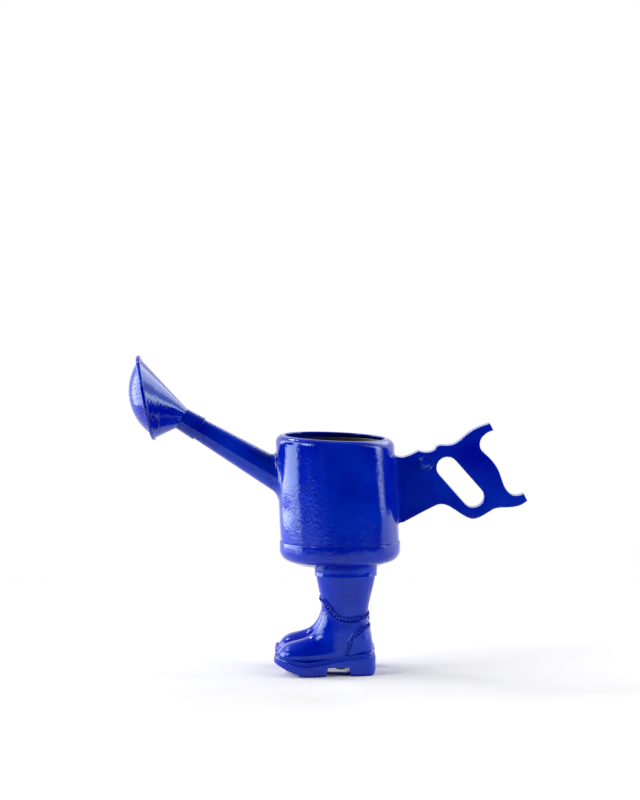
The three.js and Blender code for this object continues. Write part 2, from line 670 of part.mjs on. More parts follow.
function tieBolt() {
  const seat = OUTSOLE_ARCH - GAP;
  const end = PAN_FLOOR_TOP + TIE_WASHER_THICKNESS + TIE_NUT_HEIGHT + 1.5;
  const shank = solid(disc(TIE_BOLT_RADIUS, seat - 1, end, 16));
  return geometryOf(shank.add(solid(hexagon(TIE_BOLT_HEAD_ACROSS, seat - TIE_BOLT_HEAD_HEIGHT, seat))));
}

function placeBoot(side, sideName) {
  const boot = new THREE.Group();
  boot.position.set(BOOT_X, side * BOOT_SPREAD, 0);
  boot.rotation.z = -side * rad(TOE_OUT);
  group.add(boot);
  const bore = tieBore(TIE_BOLT_RADIUS + BOLT_CLEARANCE);
  const pieceName = (piece) => `${sideName}_${piece}`;
  const weltTop = underSole(GAP + WELT_HEIGHT);
  const clearOfSole = underSole(2 * GAP + WELT_HEIGHT);
  const hemRegion = solid(new THREE.BoxGeometry(200, 200, 100).translate(0, 0, HEM_BOTTOM + 50));

  boot.updateMatrixWorld(true);
  const underPan = panSpace().transform(boot.matrixWorld.clone().invert().toArray());
  const upper = upperBody(0).subtract(clearOfSole).subtract(bore).subtract(underPan);
  const hem = upperBody(HEM_PROUD).subtract(upperBody(GAP)).intersect(hemRegion).subtract(underPan);
  const ankle = strap(ANKLE_LINE, offsetLine(ANKLE_LINE, STRAP_WIDTH), clearOfSole);
  const heel = strap(HEEL_LINE, offsetLine(HEEL_LINE, STRAP_WIDTH), clearOfSole);
  const welt = solePlan(WELT_INSET, 60).intersect(weltTop).subtract(underSole(GAP)).subtract(bore);
  const outsole = outsoleBody().subtract(bore);

  add(pieceName("boot_upper"), geometryOf(upper), lacquer, boot);
  add(pieceName("boot_hem"), geometryOf(hem), lacquer, boot);
  add(pieceName("ankle_strap"), geometryOf(ankle), lacquer, boot);
  add(pieceName("heel_strap"), geometryOf(heel), lacquer, boot);
  add(pieceName("boot_welt"), geometryOf(welt), lacquer, boot);
  add(pieceName("outsole"), geometryOf(outsole), lacquer, boot);
  const fastener = new THREE.Group();
  fastener.position.x = -TIE_BOLT_U;
  boot.add(fastener);
  const washerBottom = PAN_FLOOR_TOP + GAP;
  const nutBottom = washerBottom + TIE_WASHER_THICKNESS + GAP;
  add(pieceName("tie_bolt"), tieBolt(), steel, fastener);
  add(pieceName("tie_washer"), ring(TIE_BOLT_RADIUS + BOLT_CLEARANCE, TIE_WASHER_RADIUS, washerBottom,
    washerBottom + TIE_WASHER_THICKNESS, 20), steel, fastener);
  const nut = solid(hexagon(TIE_BOLT_HEAD_ACROSS, nutBottom, nutBottom + TIE_NUT_HEIGHT));
  add(pieceName("tie_nut"), geometryOf(nut.subtract(solid(disc(TIE_BOLT_RADIUS + GAP, 0, 300, 16)))),
    steel, fastener);
  return bore.transform(boot.matrixWorld.toArray());
}

// ---- assembly -----------------------------------------------------------------------------------------

const tieBores = [placeBoot(-1, "left"), placeBoot(1, "right")];

const panBody = tieBores.reduce((pan, bore) => pan.subtract(bore), solid(revolve(panProfile(),
  ROUND_SIDES)));
add("base_pan", geometryOf(panBody), lacquer);

let drum = solid(leaned(revolve(drumProfile(), ROUND_SIDES))).subtract(spoutCore(2 * GAP));
for (const z of SCREW_HEIGHTS) {
  drum = drum.subtract(solid(alongX(disc(SCREW_RADIUS + GAP, 0, 60, 12), HANDLE_ROOT_X - 50, z)));
}
add("can_drum", geometryOf(drum), lacquer);

add("liner_rest", ring(REST_RADIUS - REST_WIDTH, REST_RADIUS, PAN_FLOOR_TOP + GAP, REST_TOP, 40), rubber);
add("liner_pot", revolve(linerProfile(), 48).translate(DRUM_LEAN, 0, 0), linerPlastic);

const keepClear = solid(disc(MOUTH_RADIUS + 3, PAN_BOTTOM, LIP_TOP + 30, 48).translate(DRUM_LEAN, 0, 0));
add("spout_tube", geometryOf(solid(onSpout(revolve(spoutProfile(), 32))).subtract(keepClear)), lacquer);
add("spout_saddle", geometryOf(solid(onSpout(revolve(saddleProfile(), 32))).subtract(drumSpace(GAP))),
  lacquer);

add("rose_ferrule", onSpout(revolve(ferruleProfile(), 32)), lacquer);
const sealFront = -FERRULE_LIP - GAP;
add("rose_seal", onSpout(ring(FERRULE_BORE, spoutRadius(0) - GAP, sealFront - SEAL_THICKNESS,
  sealFront, 24)), rubber);
add("rose_cone", geometryOf(roseCone()), lacquer);
add("rose_plate", rosePlate(), lacquer);
add("rose_rim", onRose(revolve(rimProfile(), ROSE_SIDES)), lacquer);

add("saw_handle", handleSlab(), lacquer);
add("handle_saddle", handleSaddle(), lacquer);
const atSawScrew = (geometry) => geometry.translate(HANDLE_ROOT_X + SAW_SCREW[0], 0, SAW_SCREW[1]);
add("saw_screw", atSawScrew(sawScrew().rotateX(Math.PI / 2)), lacquer);
add("saw_nut", atSawScrew(sawNut().rotateX(-Math.PI / 2)), lacquer);

SCREW_HEIGHTS.forEach((z, i) => {
  const seat = washerSeat(z);
  const headX = seat - SCREW_WASHER_THICKNESS - GAP;
  const washer = ring(SCREW_RADIUS + GAP, SCREW_WASHER_RADIUS, -SCREW_WASHER_THICKNESS, 0, 16);
  add(`handle_washer_${i + 1}`, alongX(washer, seat, z), steel);
  add(`handle_screw_${i + 1}`, alongX(panScrew(HANDLE_ROOT_X + SCREW_REACH - headX), headX, z), steel);
});

// The origin goes under the middle of the whole object.
const box = new THREE.Box3().setFromObject(group);
group.position.set(-(box.min.x + box.max.x) / 2, -(box.min.y + box.max.y) / 2, -box.min.z);

export default group;
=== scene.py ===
import json
from math import atan, atan2, cos, degrees, pi, radians, sin, sqrt, tan

import bmesh
import bpy
from mathutils import Matrix, Vector
from mathutils.bvhtree import BVHTree


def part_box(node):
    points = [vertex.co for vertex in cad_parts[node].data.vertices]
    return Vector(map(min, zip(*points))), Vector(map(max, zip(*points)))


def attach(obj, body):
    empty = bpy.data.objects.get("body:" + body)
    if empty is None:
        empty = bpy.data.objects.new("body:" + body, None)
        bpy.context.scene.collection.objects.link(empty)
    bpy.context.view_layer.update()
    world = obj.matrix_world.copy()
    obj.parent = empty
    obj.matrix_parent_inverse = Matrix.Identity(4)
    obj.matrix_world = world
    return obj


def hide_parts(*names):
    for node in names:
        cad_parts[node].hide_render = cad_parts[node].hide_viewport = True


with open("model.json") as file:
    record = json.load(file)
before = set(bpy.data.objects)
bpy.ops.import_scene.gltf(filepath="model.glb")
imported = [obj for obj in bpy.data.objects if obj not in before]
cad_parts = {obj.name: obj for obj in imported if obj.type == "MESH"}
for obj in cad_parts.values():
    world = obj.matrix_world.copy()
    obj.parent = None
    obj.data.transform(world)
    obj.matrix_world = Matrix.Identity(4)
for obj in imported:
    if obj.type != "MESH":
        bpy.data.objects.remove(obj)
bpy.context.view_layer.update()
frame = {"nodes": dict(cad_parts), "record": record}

# ---- Blue lacquer ---------------------------------------------------------------------------------
# The can, spout, rose, handle and boots are castings under one thick coat of ultramarine gloss. The
# coat follows the cast skin, so it has a fine orange peel, slow waves and pits. The creases and the
# pits get a darker blue, which is painted shade.


def new_group(name, inputs, outputs):
    """An empty shader group with its named sockets, and its two end nodes."""
    tree = bpy.data.node_groups.new(name, "ShaderNodeTree")
    for socket, kind, value in inputs:
        made = tree.interface.new_socket(socket, in_out="INPUT", socket_type=kind)
        if value is not None:
            made.default_value = value
    for socket in outputs:
        tree.interface.new_socket(socket, in_out="OUTPUT", socket_type="NodeSocketFloat")
    return tree, tree.nodes.new("NodeGroupInput"), tree.nodes.new("NodeGroupOutput")


def math_node(tree, operation, first, second=None, third=None):
    """A Math node whose inputs are links or numbers; gives its output."""
    node = tree.nodes.new("ShaderNodeMath")
    node.operation = operation
    for socket, value in zip(node.inputs, (first, second, third)):
        if value is None:
            continue
        if isinstance(value, (int, float)):
            socket.default_value = value
        else:
            tree.links.new(value, socket)
    return node.outputs[0]


def texture(tree, kind, vector, scale, **settings):
    """A noise or Voronoi texture; scale is a link or a number; gives the node."""
    node = tree.nodes.new(kind)
    tree.links.new(vector, node.inputs["Vector"])
    if isinstance(scale, (int, float)):
        node.inputs["Scale"].default_value = scale
    else:
        tree.links.new(scale, node.inputs["Scale"])
    for key, value in settings.items():
        if key in ("feature", "distance"):
            setattr(node, key, value)
        else:
            node.inputs[key.replace("_", " ").title()].default_value = value
    return node


cast_skin, start, end = new_group(
    "cast_skin",
    [("Vector", "NodeSocketVector", None), ("Grain", "NodeSocketFloat", 420.0),
     ("Wave", "NodeSocketFloat", 1.0), ("Pits", "NodeSocketFloat", 1.0)],
    ["Height", "Tone", "Pit"])
peel = texture(cast_skin, "ShaderNodeTexNoise", start.outputs["Vector"], start.outputs["Grain"],
               detail=2.0, roughness=0.55)
cells = texture(cast_skin, "ShaderNodeTexVoronoi", start.outputs["Vector"],
                math_node(cast_skin, "MULTIPLY", start.outputs["Grain"], 0.55), feature="SMOOTH_F1")
swell = texture(cast_skin, "ShaderNodeTexNoise", start.outputs["Vector"], 38.0, detail=1.0)
mottle = texture(cast_skin, "ShaderNodeTexNoise", start.outputs["Vector"], 14.0, detail=4.0)
# pits: small dents in the height; the lacquer also darkens them with painted shade
pores = texture(cast_skin, "ShaderNodeTexVoronoi", start.outputs["Vector"], 75.0)
pore = math_node(cast_skin, "LESS_THAN", pores.outputs["Distance"], 0.055)
rare = math_node(cast_skin, "GREATER_THAN", mottle.outputs["Fac"], 0.56)
pit = math_node(cast_skin, "MULTIPLY", pore, rare)
pit = math_node(cast_skin, "MULTIPLY", pit, start.outputs["Pits"])
height = math_node(cast_skin, "MULTIPLY_ADD", cells.outputs["Distance"], 0.55, peel.outputs["Fac"])
wave = math_node(cast_skin, "MULTIPLY", swell.outputs["Fac"], start.outputs["Wave"])
height = math_node(cast_skin, "MULTIPLY_ADD", wave, 6.0, height)
height = math_node(cast_skin, "MULTIPLY_ADD", pit, -3.0, height)
cast_skin.links.new(height, end.inputs["Height"])
cast_skin.links.new(mottle.outputs["Fac"], end.inputs["Tone"])
cast_skin.links.new(pit, end.inputs["Pit"])

# Pointiness: Hollow marks creases, darkened with painted shade in the lacquer; Edge only adds roughness
crease, start, end = new_group("crease", [("Sharpness", "NodeSocketFloat", 6.0)], ["Hollow", "Edge"])
shape_node = crease.nodes.new("ShaderNodeNewGeometry")
lean = math_node(crease, "SUBTRACT", shape_node.outputs["Pointiness"], 0.5)
lean = math_node(crease, "MULTIPLY", lean, start.outputs["Sharpness"])
for output, sign in (("Hollow", -1.0), ("Edge", 1.0)):
    side = math_node(crease, "MULTIPLY", lean, sign)
    side = math_node(crease, "MINIMUM", math_node(crease, "MAXIMUM", side, 0.0), 1.0)
    crease.links.new(side, end.inputs[output])


def new_material(name):
    """A material with a Principled shader, and its tree, shader and Object coordinates."""
    material = bpy.data.materials.new(name)
    material.use_nodes = True
    tree = material.node_tree
    place = tree.nodes.new("ShaderNodeTexCoord").outputs["Object"]
    return material, tree, tree.nodes["Principled BSDF"], place


def placed_group(tree, group, vector=None, **values):
    """Places a shader group in a material with its own values, and gives its node."""
    node = tree.nodes.new("ShaderNodeGroup")
    node.node_tree = group
    if vector is not None:
        tree.links.new(vector, node.inputs["Vector"])
    for key, value in values.items():
        node.inputs[key].default_value = value
    return node


def mixed(tree, factor, first, second):
    """A colour that goes from first to second as factor goes from 0 to 1."""
    node = tree.nodes.new("ShaderNodeMix")
    node.data_type = "RGBA"
    tree.links.new(factor, node.inputs["Factor"])
    for socket, value in ((node.inputs["A"], first), (node.inputs["B"], second)):
        if isinstance(value, tuple):
            socket.default_value = (*value, 1.0)
        else:
            tree.links.new(value, socket)
    return node.outputs["Result"]


def bumped(tree, shader, height, strength, distance):
    """Feeds a height into the shader's normal; distance is the height of 1, in metres."""
    bump = tree.nodes.new("ShaderNodeBump")
    bump.inputs["Strength"].default_value = strength
    bump.inputs["Distance"].default_value = distance
    tree.links.new(height, bump.inputs["Height"])
    tree.links.new(bump.outputs["Normal"], shader.inputs["Normal"])


DEEP_BLUE = (0.0002, 0.0035, 0.34)
BRIGHT_BLUE = (0.0003, 0.026, 0.50)
# painted shade: the darker blue mixed into creases and casting pits
PAINTED_SHADE_BLUE = (0.0002, 0.003, 0.18)
COOL_GLOSS = (0.68, 1.0, 1.0, 1.0)


def lacquer(name, grain, depth, wave, pits=1.0, roughness=0.05, shade_sharpness=5.0):
    """The gloss blue on one casting, with the peel's grains per metre and its depth in metres."""
    material, tree, shader, place = new_material(name)
    skin = placed_group(tree, cast_skin, place, Grain=grain, Wave=wave, Pits=pits)
    edge = placed_group(tree, crease, Sharpness=shade_sharpness)
    tone = math_node(tree, "MULTIPLY_ADD", skin.outputs["Tone"], 2.4, -0.75)
    colour = mixed(tree, tone, DEEP_BLUE, BRIGHT_BLUE)
    # painted shade in the creases and in the pits
    colour = mixed(tree, edge.outputs["Hollow"], colour, PAINTED_SHADE_BLUE)
    colour = mixed(tree, skin.outputs["Pit"], colour, PAINTED_SHADE_BLUE)
    tree.links.new(colour, shader.inputs["Base Color"])
    gloss = math_node(tree, "MULTIPLY_ADD", skin.outputs["Tone"], 0.05, roughness - 0.025)
    gloss = math_node(tree, "MULTIPLY_ADD", edge.outputs["Edge"], 0.08, gloss)
    tree.links.new(gloss, shader.inputs["Roughness"])
    shader.inputs["IOR"].default_value = 1.46
    shader.inputs["Specular Tint"].default_value = COOL_GLOSS
    bumped(tree, shader, skin.outputs["Height"], 1.0, depth)
    return material


# ---- Drum -----------------------------------------------------------------------------------------
# The can's wall is one cast shell that leans a little towards the spout. Its shoulder rolls over into
# a narrow lip round the mouth, and its skirt is let down inside the pan.


def ring_skin(name, rings, sides=96, shut_start=False, shut_end=False, joined=False):
    """A skin pulled up from ring to ring, each (x, z, half length, half width, tilt in degrees)."""
    bpy.ops.object.select_all(action="DESELECT")
    bpy.ops.mesh.primitive_circle_add(vertices=sides, radius=1)
    piece = bpy.context.object
    piece.name = name
    bpy.ops.object.mode_set(mode="EDIT")
    before = (0.0, 0.0, 1.0, 1.0, 0.0)
    for count, ring in enumerate(rings):
        if count:
            bpy.ops.mesh.extrude_region_move()
        centre = (before[0], 0, before[1])
        if before[4]:
            bpy.ops.transform.rotate(value=radians(before[4]), orient_axis="Y", center_override=centre)
        ratio = (ring[2] / before[2], ring[3] / before[3], 1)
        bpy.ops.transform.resize(value=ratio, center_override=centre)
        if ring[4]:
            bpy.ops.transform.rotate(value=-radians(ring[4]), orient_axis="Y", center_override=centre)
        bpy.ops.transform.translate(value=(ring[0] - before[0], 0, ring[1] - before[1]))
        if count == 0 and shut_start:
            bpy.ops.mesh.extrude_region_move()
            bpy.ops.mesh.merge(type="CENTER")
            bpy.ops.mesh.select_all(action="DESELECT")
            select_edges(piece, lambda edge: edge.is_boundary)
        before = ring
    if shut_end:
        bpy.ops.mesh.extrude_region_move()
        bpy.ops.mesh.merge(type="CENTER")
    if joined:
        bpy.ops.mesh.select_all(action="DESELECT")
        bpy.ops.mesh.select_non_manifold()
        bpy.ops.mesh.bridge_edge_loops()
    bpy.ops.mesh.select_all(action="SELECT")
    bpy.ops.mesh.normals_make_consistent(inside=False)
    bpy.ops.object.mode_set(mode="OBJECT")
    return piece


def select_edges(piece, wanted):
    """Selects, in edit mode, the edges that wanted() says."""
    edit = bmesh.from_edit_mesh(piece.data)
    for edge in edit.edges:
        if wanted(edge):
            edge.select_set(True)
    bmesh.update_edit_mesh(piece.data)


def arc(middle, height, radius, first, last, steps):
    """Points (radius, z) on an arc about (middle, height), from first to last in degrees."""
    angles = [radians(first + (last - first) * i / steps) for i in range(steps + 1)]
    return [(middle + radius * cos(a), height + radius * sin(a)) for a in angles]


def with_modifier(piece, kind, **settings):
    """Adds a modifier with these settings and applies it."""
    bpy.ops.object.select_all(action="DESELECT")
    bpy.context.view_layer.objects.active = piece
    piece.select_set(True)
    modifier = piece.modifiers.new(kind.lower(), kind)
    for key, value in settings.items():
        setattr(modifier, key, value)
    bpy.ops.object.modifier_apply(modifier=modifier.name)
    return piece


def in_place(piece, matrix=None):
    """Puts the piece's place into its mesh, so that its object is at the origin and unturned."""
    bpy.ops.object.select_all(action="DESELECT")
    bpy.context.view_layer.objects.active = piece
    piece.select_set(True)
    if matrix is not None:
        piece.matrix_world = matrix
    bpy.ops.object.transform_apply(location=True, rotation=True, scale=True)
    return piece


def finished(piece, material, body, nodes=(), angle=35, flat=False):
    """Smooths the piece, gives it its finish, and lets it stand for its CAD nodes on their body."""
    bpy.ops.object.select_all(action="DESELECT")
    bpy.context.view_layer.objects.active = piece
    piece.select_set(True)
    bpy.ops.object.shade_smooth_by_angle(angle=radians(angle))
    if flat:
        with_modifier(piece, "WEIGHTED_NORMAL", weight=100, keep_sharp=True)
    piece.data.materials.clear()
    piece.data.materials.append(material)
    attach(piece, body)
    if nodes:
        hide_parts(*nodes)
    return piece


pan_low, pan_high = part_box("base_pan")
axis_x = (pan_low.x + pan_high.x) / 2
drum_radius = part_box("can_drum")[1].y
drum_wall = 0.003
drum_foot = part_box("can_drum")[0].z
drum_start = pan_high.z + 0.0001
drum_height = 0.157
lip_top = pan_high.z + drum_height
shoulder = 0.012
mouth_radius = 0.075
drum_lean = -0.008
mouth_tilt = 2.3
skirt_radius = pan_high.y - 0.0043


def leaned(profile):
    """Turns (radius, z) points into rings that lean towards the spout and tilt towards the handle."""
    rings = []
    for radius, z in profile:
        share = min(max((z - pan_high.z) / drum_height, 0.0), 1.2)
        tilt = degrees(atan(tan(radians(mouth_tilt)) * share ** 2))
        rings.append((axis_x + drum_lean * share, z, radius, radius, tilt))
    return rings


wall_foot = drum_start + 0.0012
wall_rows = [wall_foot + (lip_top - shoulder - wall_foot) * i / 16 for i in range(16)]
shoulder_out = arc(drum_radius - shoulder, lip_top - shoulder, shoulder, 0, 88, 11)
lip_edge = arc(mouth_radius + 0.0016, lip_top - 0.0017, 0.0016, 90, 200, 5)
shoulder_in = arc(drum_radius - shoulder, lip_top - shoulder, shoulder - drum_wall, 80, 0, 6)
inner = drum_radius - drum_wall
drum_profile = [
    (skirt_radius - drum_wall, drum_foot), (skirt_radius, drum_foot), (skirt_radius, drum_start),
    *arc(drum_radius - 0.0003, drum_start + 0.0003, 0.0003, -90, -20, 2),
    *[(drum_radius, z) for z in wall_rows], *shoulder_out, *lip_edge, *shoulder_in,
    *[(inner, z) for z in reversed(wall_rows[1:])],
    (inner, drum_start + drum_wall), (skirt_radius - drum_wall, drum_start)]
drum = ring_skin("drum_shell", leaned(drum_profile), sides=144, joined=True)


def press(piece, spot, push, reach):
    """Pushes the wall in or out softly about the spot, as by hand in the wax."""
    for vertex in piece.data.vertices:
        share = min((vertex.co - Vector(spot)).length / reach, 1.0)
        vertex.co += Vector(push) * (1 - share ** 2) ** 2
    piece.data.update()


# each dent or swelling in the wall: where it is, which way it goes, and how far it reaches
left_wall = axis_x - drum_radius
press(drum, (left_wall + 0.010, -0.041, 0.246), (0.0010, 0.0006, 0), 0.022)
press(drum, (left_wall + 0.022, -0.060, 0.285), (-0.0003, -0.0006, 0), 0.034)
press(drum, (left_wall + 0.001, 0.034, 0.256), (0.0020, -0.0014, 0), 0.034)
press(drum, (left_wall + 0.004, -0.020, 0.218), (-0.0005, -0.0003, 0), 0.030)
press(drum, (axis_x + 0.070, -0.055, 0.240), (0.0006, -0.0010, 0), 0.050)


def ray_tree(piece):
    """A tree for casting rays on to a piece's skin."""
    mesh = piece.data
    return BVHTree.FromPolygons([v.co for v in mesh.vertices], [p.vertices for p in mesh.polygons])


drum_tree = ray_tree(drum)
drum_lacquer = lacquer("drum_lacquer", grain=310.0, depth=0.00024, wave=0.1)
finished(drum, drum_lacquer, "can", ["can_drum"])

# ---- Pan ------------------------------------------------------------------------------------------
# The pan is a cast dish, a little wider than the drum that stands in it. Its corner is rounded, and
# its underside slopes down to the tops of the legs.

pan_radius = pan_high.y
pan_bottom = pan_low.z
pan_corner = 0.018
pan_rise = 0.0035
pan_wall = 0.004
pan_flat = 0.067
corner_z = pan_bottom + pan_rise + pan_corner
pan_profile = [
    (0.012, pan_bottom), (0.040, pan_bottom), (pan_flat, pan_bottom),
    *arc(pan_radius - pan_corner, corner_z, pan_corner, -90, 0, 12),
    (pan_radius, corner_z + 0.006),
    *arc(pan_radius - 0.0015, pan_high.z - 0.0015, 0.0015, 0, 90, 5),
    (pan_radius - pan_wall, pan_high.z), (pan_radius - pan_wall, corner_z + 0.004),
    *arc(pan_radius - pan_corner, corner_z, pan_corner - pan_wall, 0, -90, 6),
    (pan_flat, pan_bottom + pan_wall), (0.012, pan_bottom + pan_wall)]
pan_rings = [(axis_x, z, radius, radius, 0.0) for radius, z in pan_profile]
pan = ring_skin("pan_dish", pan_rings, sides=144, shut_start=True, shut_end=True)
finished(pan, lacquer("pan_lacquer", grain=310.0, depth=0.00026, wave=0.4), "can", ["base_pan"])

# ---- Liner ----------------------------------------------------------------------------------------
# A thin moulded pot of black plastic stands on a rubber ring inside the can and holds the water and
# the stems. A turned-out rim steadies it in the mouth, and two shallow beads stiffen its wall.

liner_low, liner_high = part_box("liner_pot")
liner_x = (liner_low.x + liner_high.x) / 2
liner_rim = liner_high.y
liner_wall = 0.002
liner_body = liner_rim - 0.0018
liner_foot = liner_body - 0.006
rim_foot = liner_high.z - 0.004
liner_beads = (0.262, 0.315)


def liner_radius(z):
    """The outside radius of the drafted wall at a height, with its two stiffening beads."""
    share = (z - liner_low.z) / (rim_foot - liner_low.z)
    bead = sum(0.0009 * max(0.0, 1 - ((z - middle) / 0.003) ** 2) for middle in liner_beads)
    return liner_foot + (liner_body - liner_foot) * share + bead


row_step = 0.012
rows_foot = liner_low.z + 0.006
plain_rows = [rows_foot + row_step * i for i in range(1, int((rim_foot - rows_foot) / row_step))]
bead_rows = [b + d for b in liner_beads for d in (-0.003, -0.0018, -0.0006, 0.0006, 0.0018, 0.003)]
liner_rows = sorted([z for z in plain_rows if all(abs(z - b) > 0.006 for b in liner_beads)] + bead_rows)
liner_profile = [
    (0.010, liner_low.z), (liner_foot * 0.6, liner_low.z),
    *arc(liner_foot - 0.005, liner_low.z + 0.005, 0.005, -90, 0, 4),
    *[(liner_radius(z), z) for z in liner_rows], (liner_radius(rim_foot), rim_foot),
    *arc(liner_rim - 0.0005, rim_foot + 0.0005, 0.0005, -90, 0, 2),
    *arc(liner_rim - 0.001, liner_high.z - 0.001, 0.001, 0, 90, 3),
    (liner_body - liner_wall + 0.0007, liner_high.z), (liner_body - liner_wall, liner_high.z - 0.0007),
    *[(liner_radius(z) - liner_wall, z) for z in reversed(liner_rows)],
    *arc(liner_foot - 0.007, liner_low.z + 0.007, 0.005, 0, -90, 4),
    (0.010, liner_low.z + liner_wall)]
liner = ring_skin("liner_pot_black", [(liner_x, z, r, r, 0.0) for r, z in liner_profile],
                  sides=96, shut_start=True, shut_end=True)
liner_plastic, tree, shader, place = new_material("liner_plastic")
grain = texture(tree, "ShaderNodeTexNoise", place, 1400.0, detail=3.0)
smear = texture(tree, "ShaderNodeTexNoise", place, 26.0, detail=5.0)
scuffed = math_node(tree, "MULTIPLY_ADD", smear.outputs["Fac"], 1.8, -0.6)
liner_black = mixed(tree, scuffed, (0.006, 0.006, 0.007), (0.018, 0.018, 0.020))
tree.links.new(liner_black, shader.inputs["Base Color"])
matt = math_node(tree, "MULTIPLY_ADD", smear.outputs["Fac"], 0.3, 0.38)
tree.links.new(matt, shader.inputs["Roughness"])
bumped(tree, shader, grain.outputs["Fac"], 0.6, 0.00006)
finished(liner, liner_plastic, "liner", ["liner_pot"])

# ---- Spout ----------------------------------------------------------------------------------------
# A tapered cast tube rises towards the rose. Its lower end passes through the drum's wall, where a
# flared saddle, cast to the wall's curve, hides the joint.

spout_angle = 30.6
mouth_x, mouth_z = axis_x - 0.2379, 0.3798
spout_place = Matrix.Translation((mouth_x, 0, mouth_z))
spout_place = spout_place @ Matrix.Rotation(radians(spout_angle - 90), 4, "Y")
spout_wall = 0.002
tube_tip = -0.0045
tube_end = -0.19
tube_cut_x = axis_x - 0.0845


def tube_radius(s):
    """The tube's outside radius at a place along its axis, where 0 is the ferrule's front end."""
    return 0.0148 - 0.0527 * s


tube_rows = [tube_tip + (tube_end - tube_tip) * i / 14 for i in range(15)]
tube_profile = [(tube_radius(s) - spout_wall, s) for s in reversed(tube_rows)]
tube_profile += [(tube_radius(s), s) for s in tube_rows]
tube = ring_skin("spout_tube_cast", [(0, s, r, r, 0.0) for r, s in tube_profile], sides=96, joined=True)
in_place(tube, spout_place)
bpy.ops.object.mode_set(mode="EDIT")
bpy.ops.mesh.select_all(action="SELECT")
bpy.ops.mesh.bisect(plane_co=(tube_cut_x, 0, 0), plane_no=(1, 0, 0), clear_outer=True)
bpy.ops.mesh.select_all(action="DESELECT")
bpy.ops.mesh.select_non_manifold()
bpy.ops.mesh.bridge_edge_loops()
bpy.ops.object.mode_set(mode="OBJECT")
spout_lacquer = lacquer("spout_lacquer", grain=330.0, depth=0.00018, wave=0.4)
finished(tube, spout_lacquer, "can", ["spout_tube"])

saddle_rows = 12
saddle_reach = 0.0125


def onto_drum(start, way):
    """Where a ray from start first meets the drum, and the wall's normal there."""
    place, normal, _, _ = drum_tree.ray_cast(start, way.normalized())
    return place, normal


def fillet(name, sides, rows, guides):
    """A skin curved from one surface on to another; guides(turn) gives its start, corner and end."""
    skin = ring_skin(name, [(0, i, 1, 1, 0.0) for i in range(rows + 1)], sides=sides)
    middle = sum((guides(pi / 4 * k)[1] for k in range(8)), Vector()) / 8
    for vertex in skin.data.vertices:
        turn, t = atan2(vertex.co.y, vertex.co.x), vertex.co.z / rows
        start, corner, end = guides(turn)
        vertex.co = start * (1 - t) ** 2 + corner * 2 * t * (1 - t) + end * t ** 2
    skin.data.update()
    outward = sum(face.normal.dot(face.center - middle) for face in skin.data.polygons)
    if outward < 0:
        skin.data.flip_normals()
    with_modifier(skin, "SOLIDIFY", thickness=0.0012, offset=-1.0)
    return skin


def spout_guides(turn):
    way = Vector((cos(turn), sin(turn), 0))
    far, near = (spout_place @ (way * tube_radius(s) + Vector((0, 0, s))) for s in (-0.10, -0.18))
    out = (spout_place.to_3x3() @ way).normalized()
    corner, _ = onto_drum(far, near - far)
    end, normal = onto_drum(far + out * saddle_reach, near - far)
    start = corner + (far - near).normalized() * saddle_reach - out * 0.00005
    return start, corner, end - normal * 0.0003


saddle = fillet("spout_saddle_cast", 96, saddle_rows, spout_guides)
finished(saddle, spout_lacquer, "can", ["spout_saddle"], angle=60)

# ---- Ferrule --------------------------------------------------------------------------------------
# The rose's sleeve slides on to the end of the spout against a rubber seal. It has a crisp rear edge
# that stands proud of the tube.

ferrule_length = 0.0313
ferrule_rear, ferrule_front = 0.01845, 0.0169
bore = 0.0109
ferrule_profile = [
    (tube_radius(-ferrule_length) + 0.0003, -ferrule_length), (ferrule_rear - 0.0006, -ferrule_length),
    (ferrule_rear, -ferrule_length + 0.0006), (ferrule_rear - 0.0002, -ferrule_length + 0.004),
    (0.0178, -0.018), (0.0172, -0.007), (ferrule_front, -0.0006), (ferrule_front - 0.0006, 0.0),
    (bore, 0.0), (bore, -0.002), (tube_radius(-0.002) + 0.0003, -0.002)]
ferrule_rings = [(0, s, r, r, 0.0) for r, s in ferrule_profile]
ferrule = ring_skin("ferrule_sleeve", ferrule_rings, sides=96, joined=True)
in_place(ferrule, spout_place)
finished(ferrule, spout_lacquer, "ferrule", ["rose_ferrule"], angle=30)

# ---- Rose -----------------------------------------------------------------------------------------
# The rose is a skew cone of thin sheet from the round ferrule to a big tilted face. A rolled bead
# shuts its edge over the domed face, which is pierced with rings of fine holes.

rose_distance = 0.0614
rose_drop = 11.0
rose_radius = 0.06497
bead = 0.0034
rose_sheet = 0.0012
bead_middle = rose_radius - bead
dome_radius = bead_middle - bead
rose_x = mouth_x - rose_distance * cos(radians(spout_angle))
rose_z = mouth_z + rose_distance * sin(radians(spout_angle))
rose_place = Matrix.Translation((rose_x, 0, rose_z)) @ Matrix.Rotation(radians(-90 - rose_drop), 4, "Y")
back = Vector((cos(radians(rose_drop)), 0, sin(radians(rose_drop))))
cone_end = Vector((rose_x, 0, rose_z)) + back * 0.0009
spout_way = Vector((-cos(radians(spout_angle)), 0, sin(radians(spout_angle))))
neck = Vector((mouth_x, 0, mouth_z)) - spout_way * 0.0004
neck_radius, cone_radius = ferrule_front - 0.0004, bead_middle + 0.0006
neck_tilt, rose_tilt = spout_angle - 90, -90 - rose_drop
cone = ring_skin("rose_cone_sheet", [
    (neck.x, neck.z, neck_radius, neck_radius, neck_tilt),
    (cone_end.x, cone_end.z, cone_radius, cone_radius, rose_tilt)], sides=128)
bpy.ops.object.mode_set(mode="EDIT")
bpy.ops.mesh.select_mode(type="EDGE")
bpy.ops.mesh.select_all(action="DESELECT")
select_edges(cone, lambda edge: not edge.is_boundary)
bpy.ops.mesh.subdivide(number_cuts=14)
bpy.ops.mesh.select_mode(type="VERT")
bpy.ops.object.mode_set(mode="OBJECT")
with_modifier(cone, "SOLIDIFY", thickness=rose_sheet, offset=-1.0)
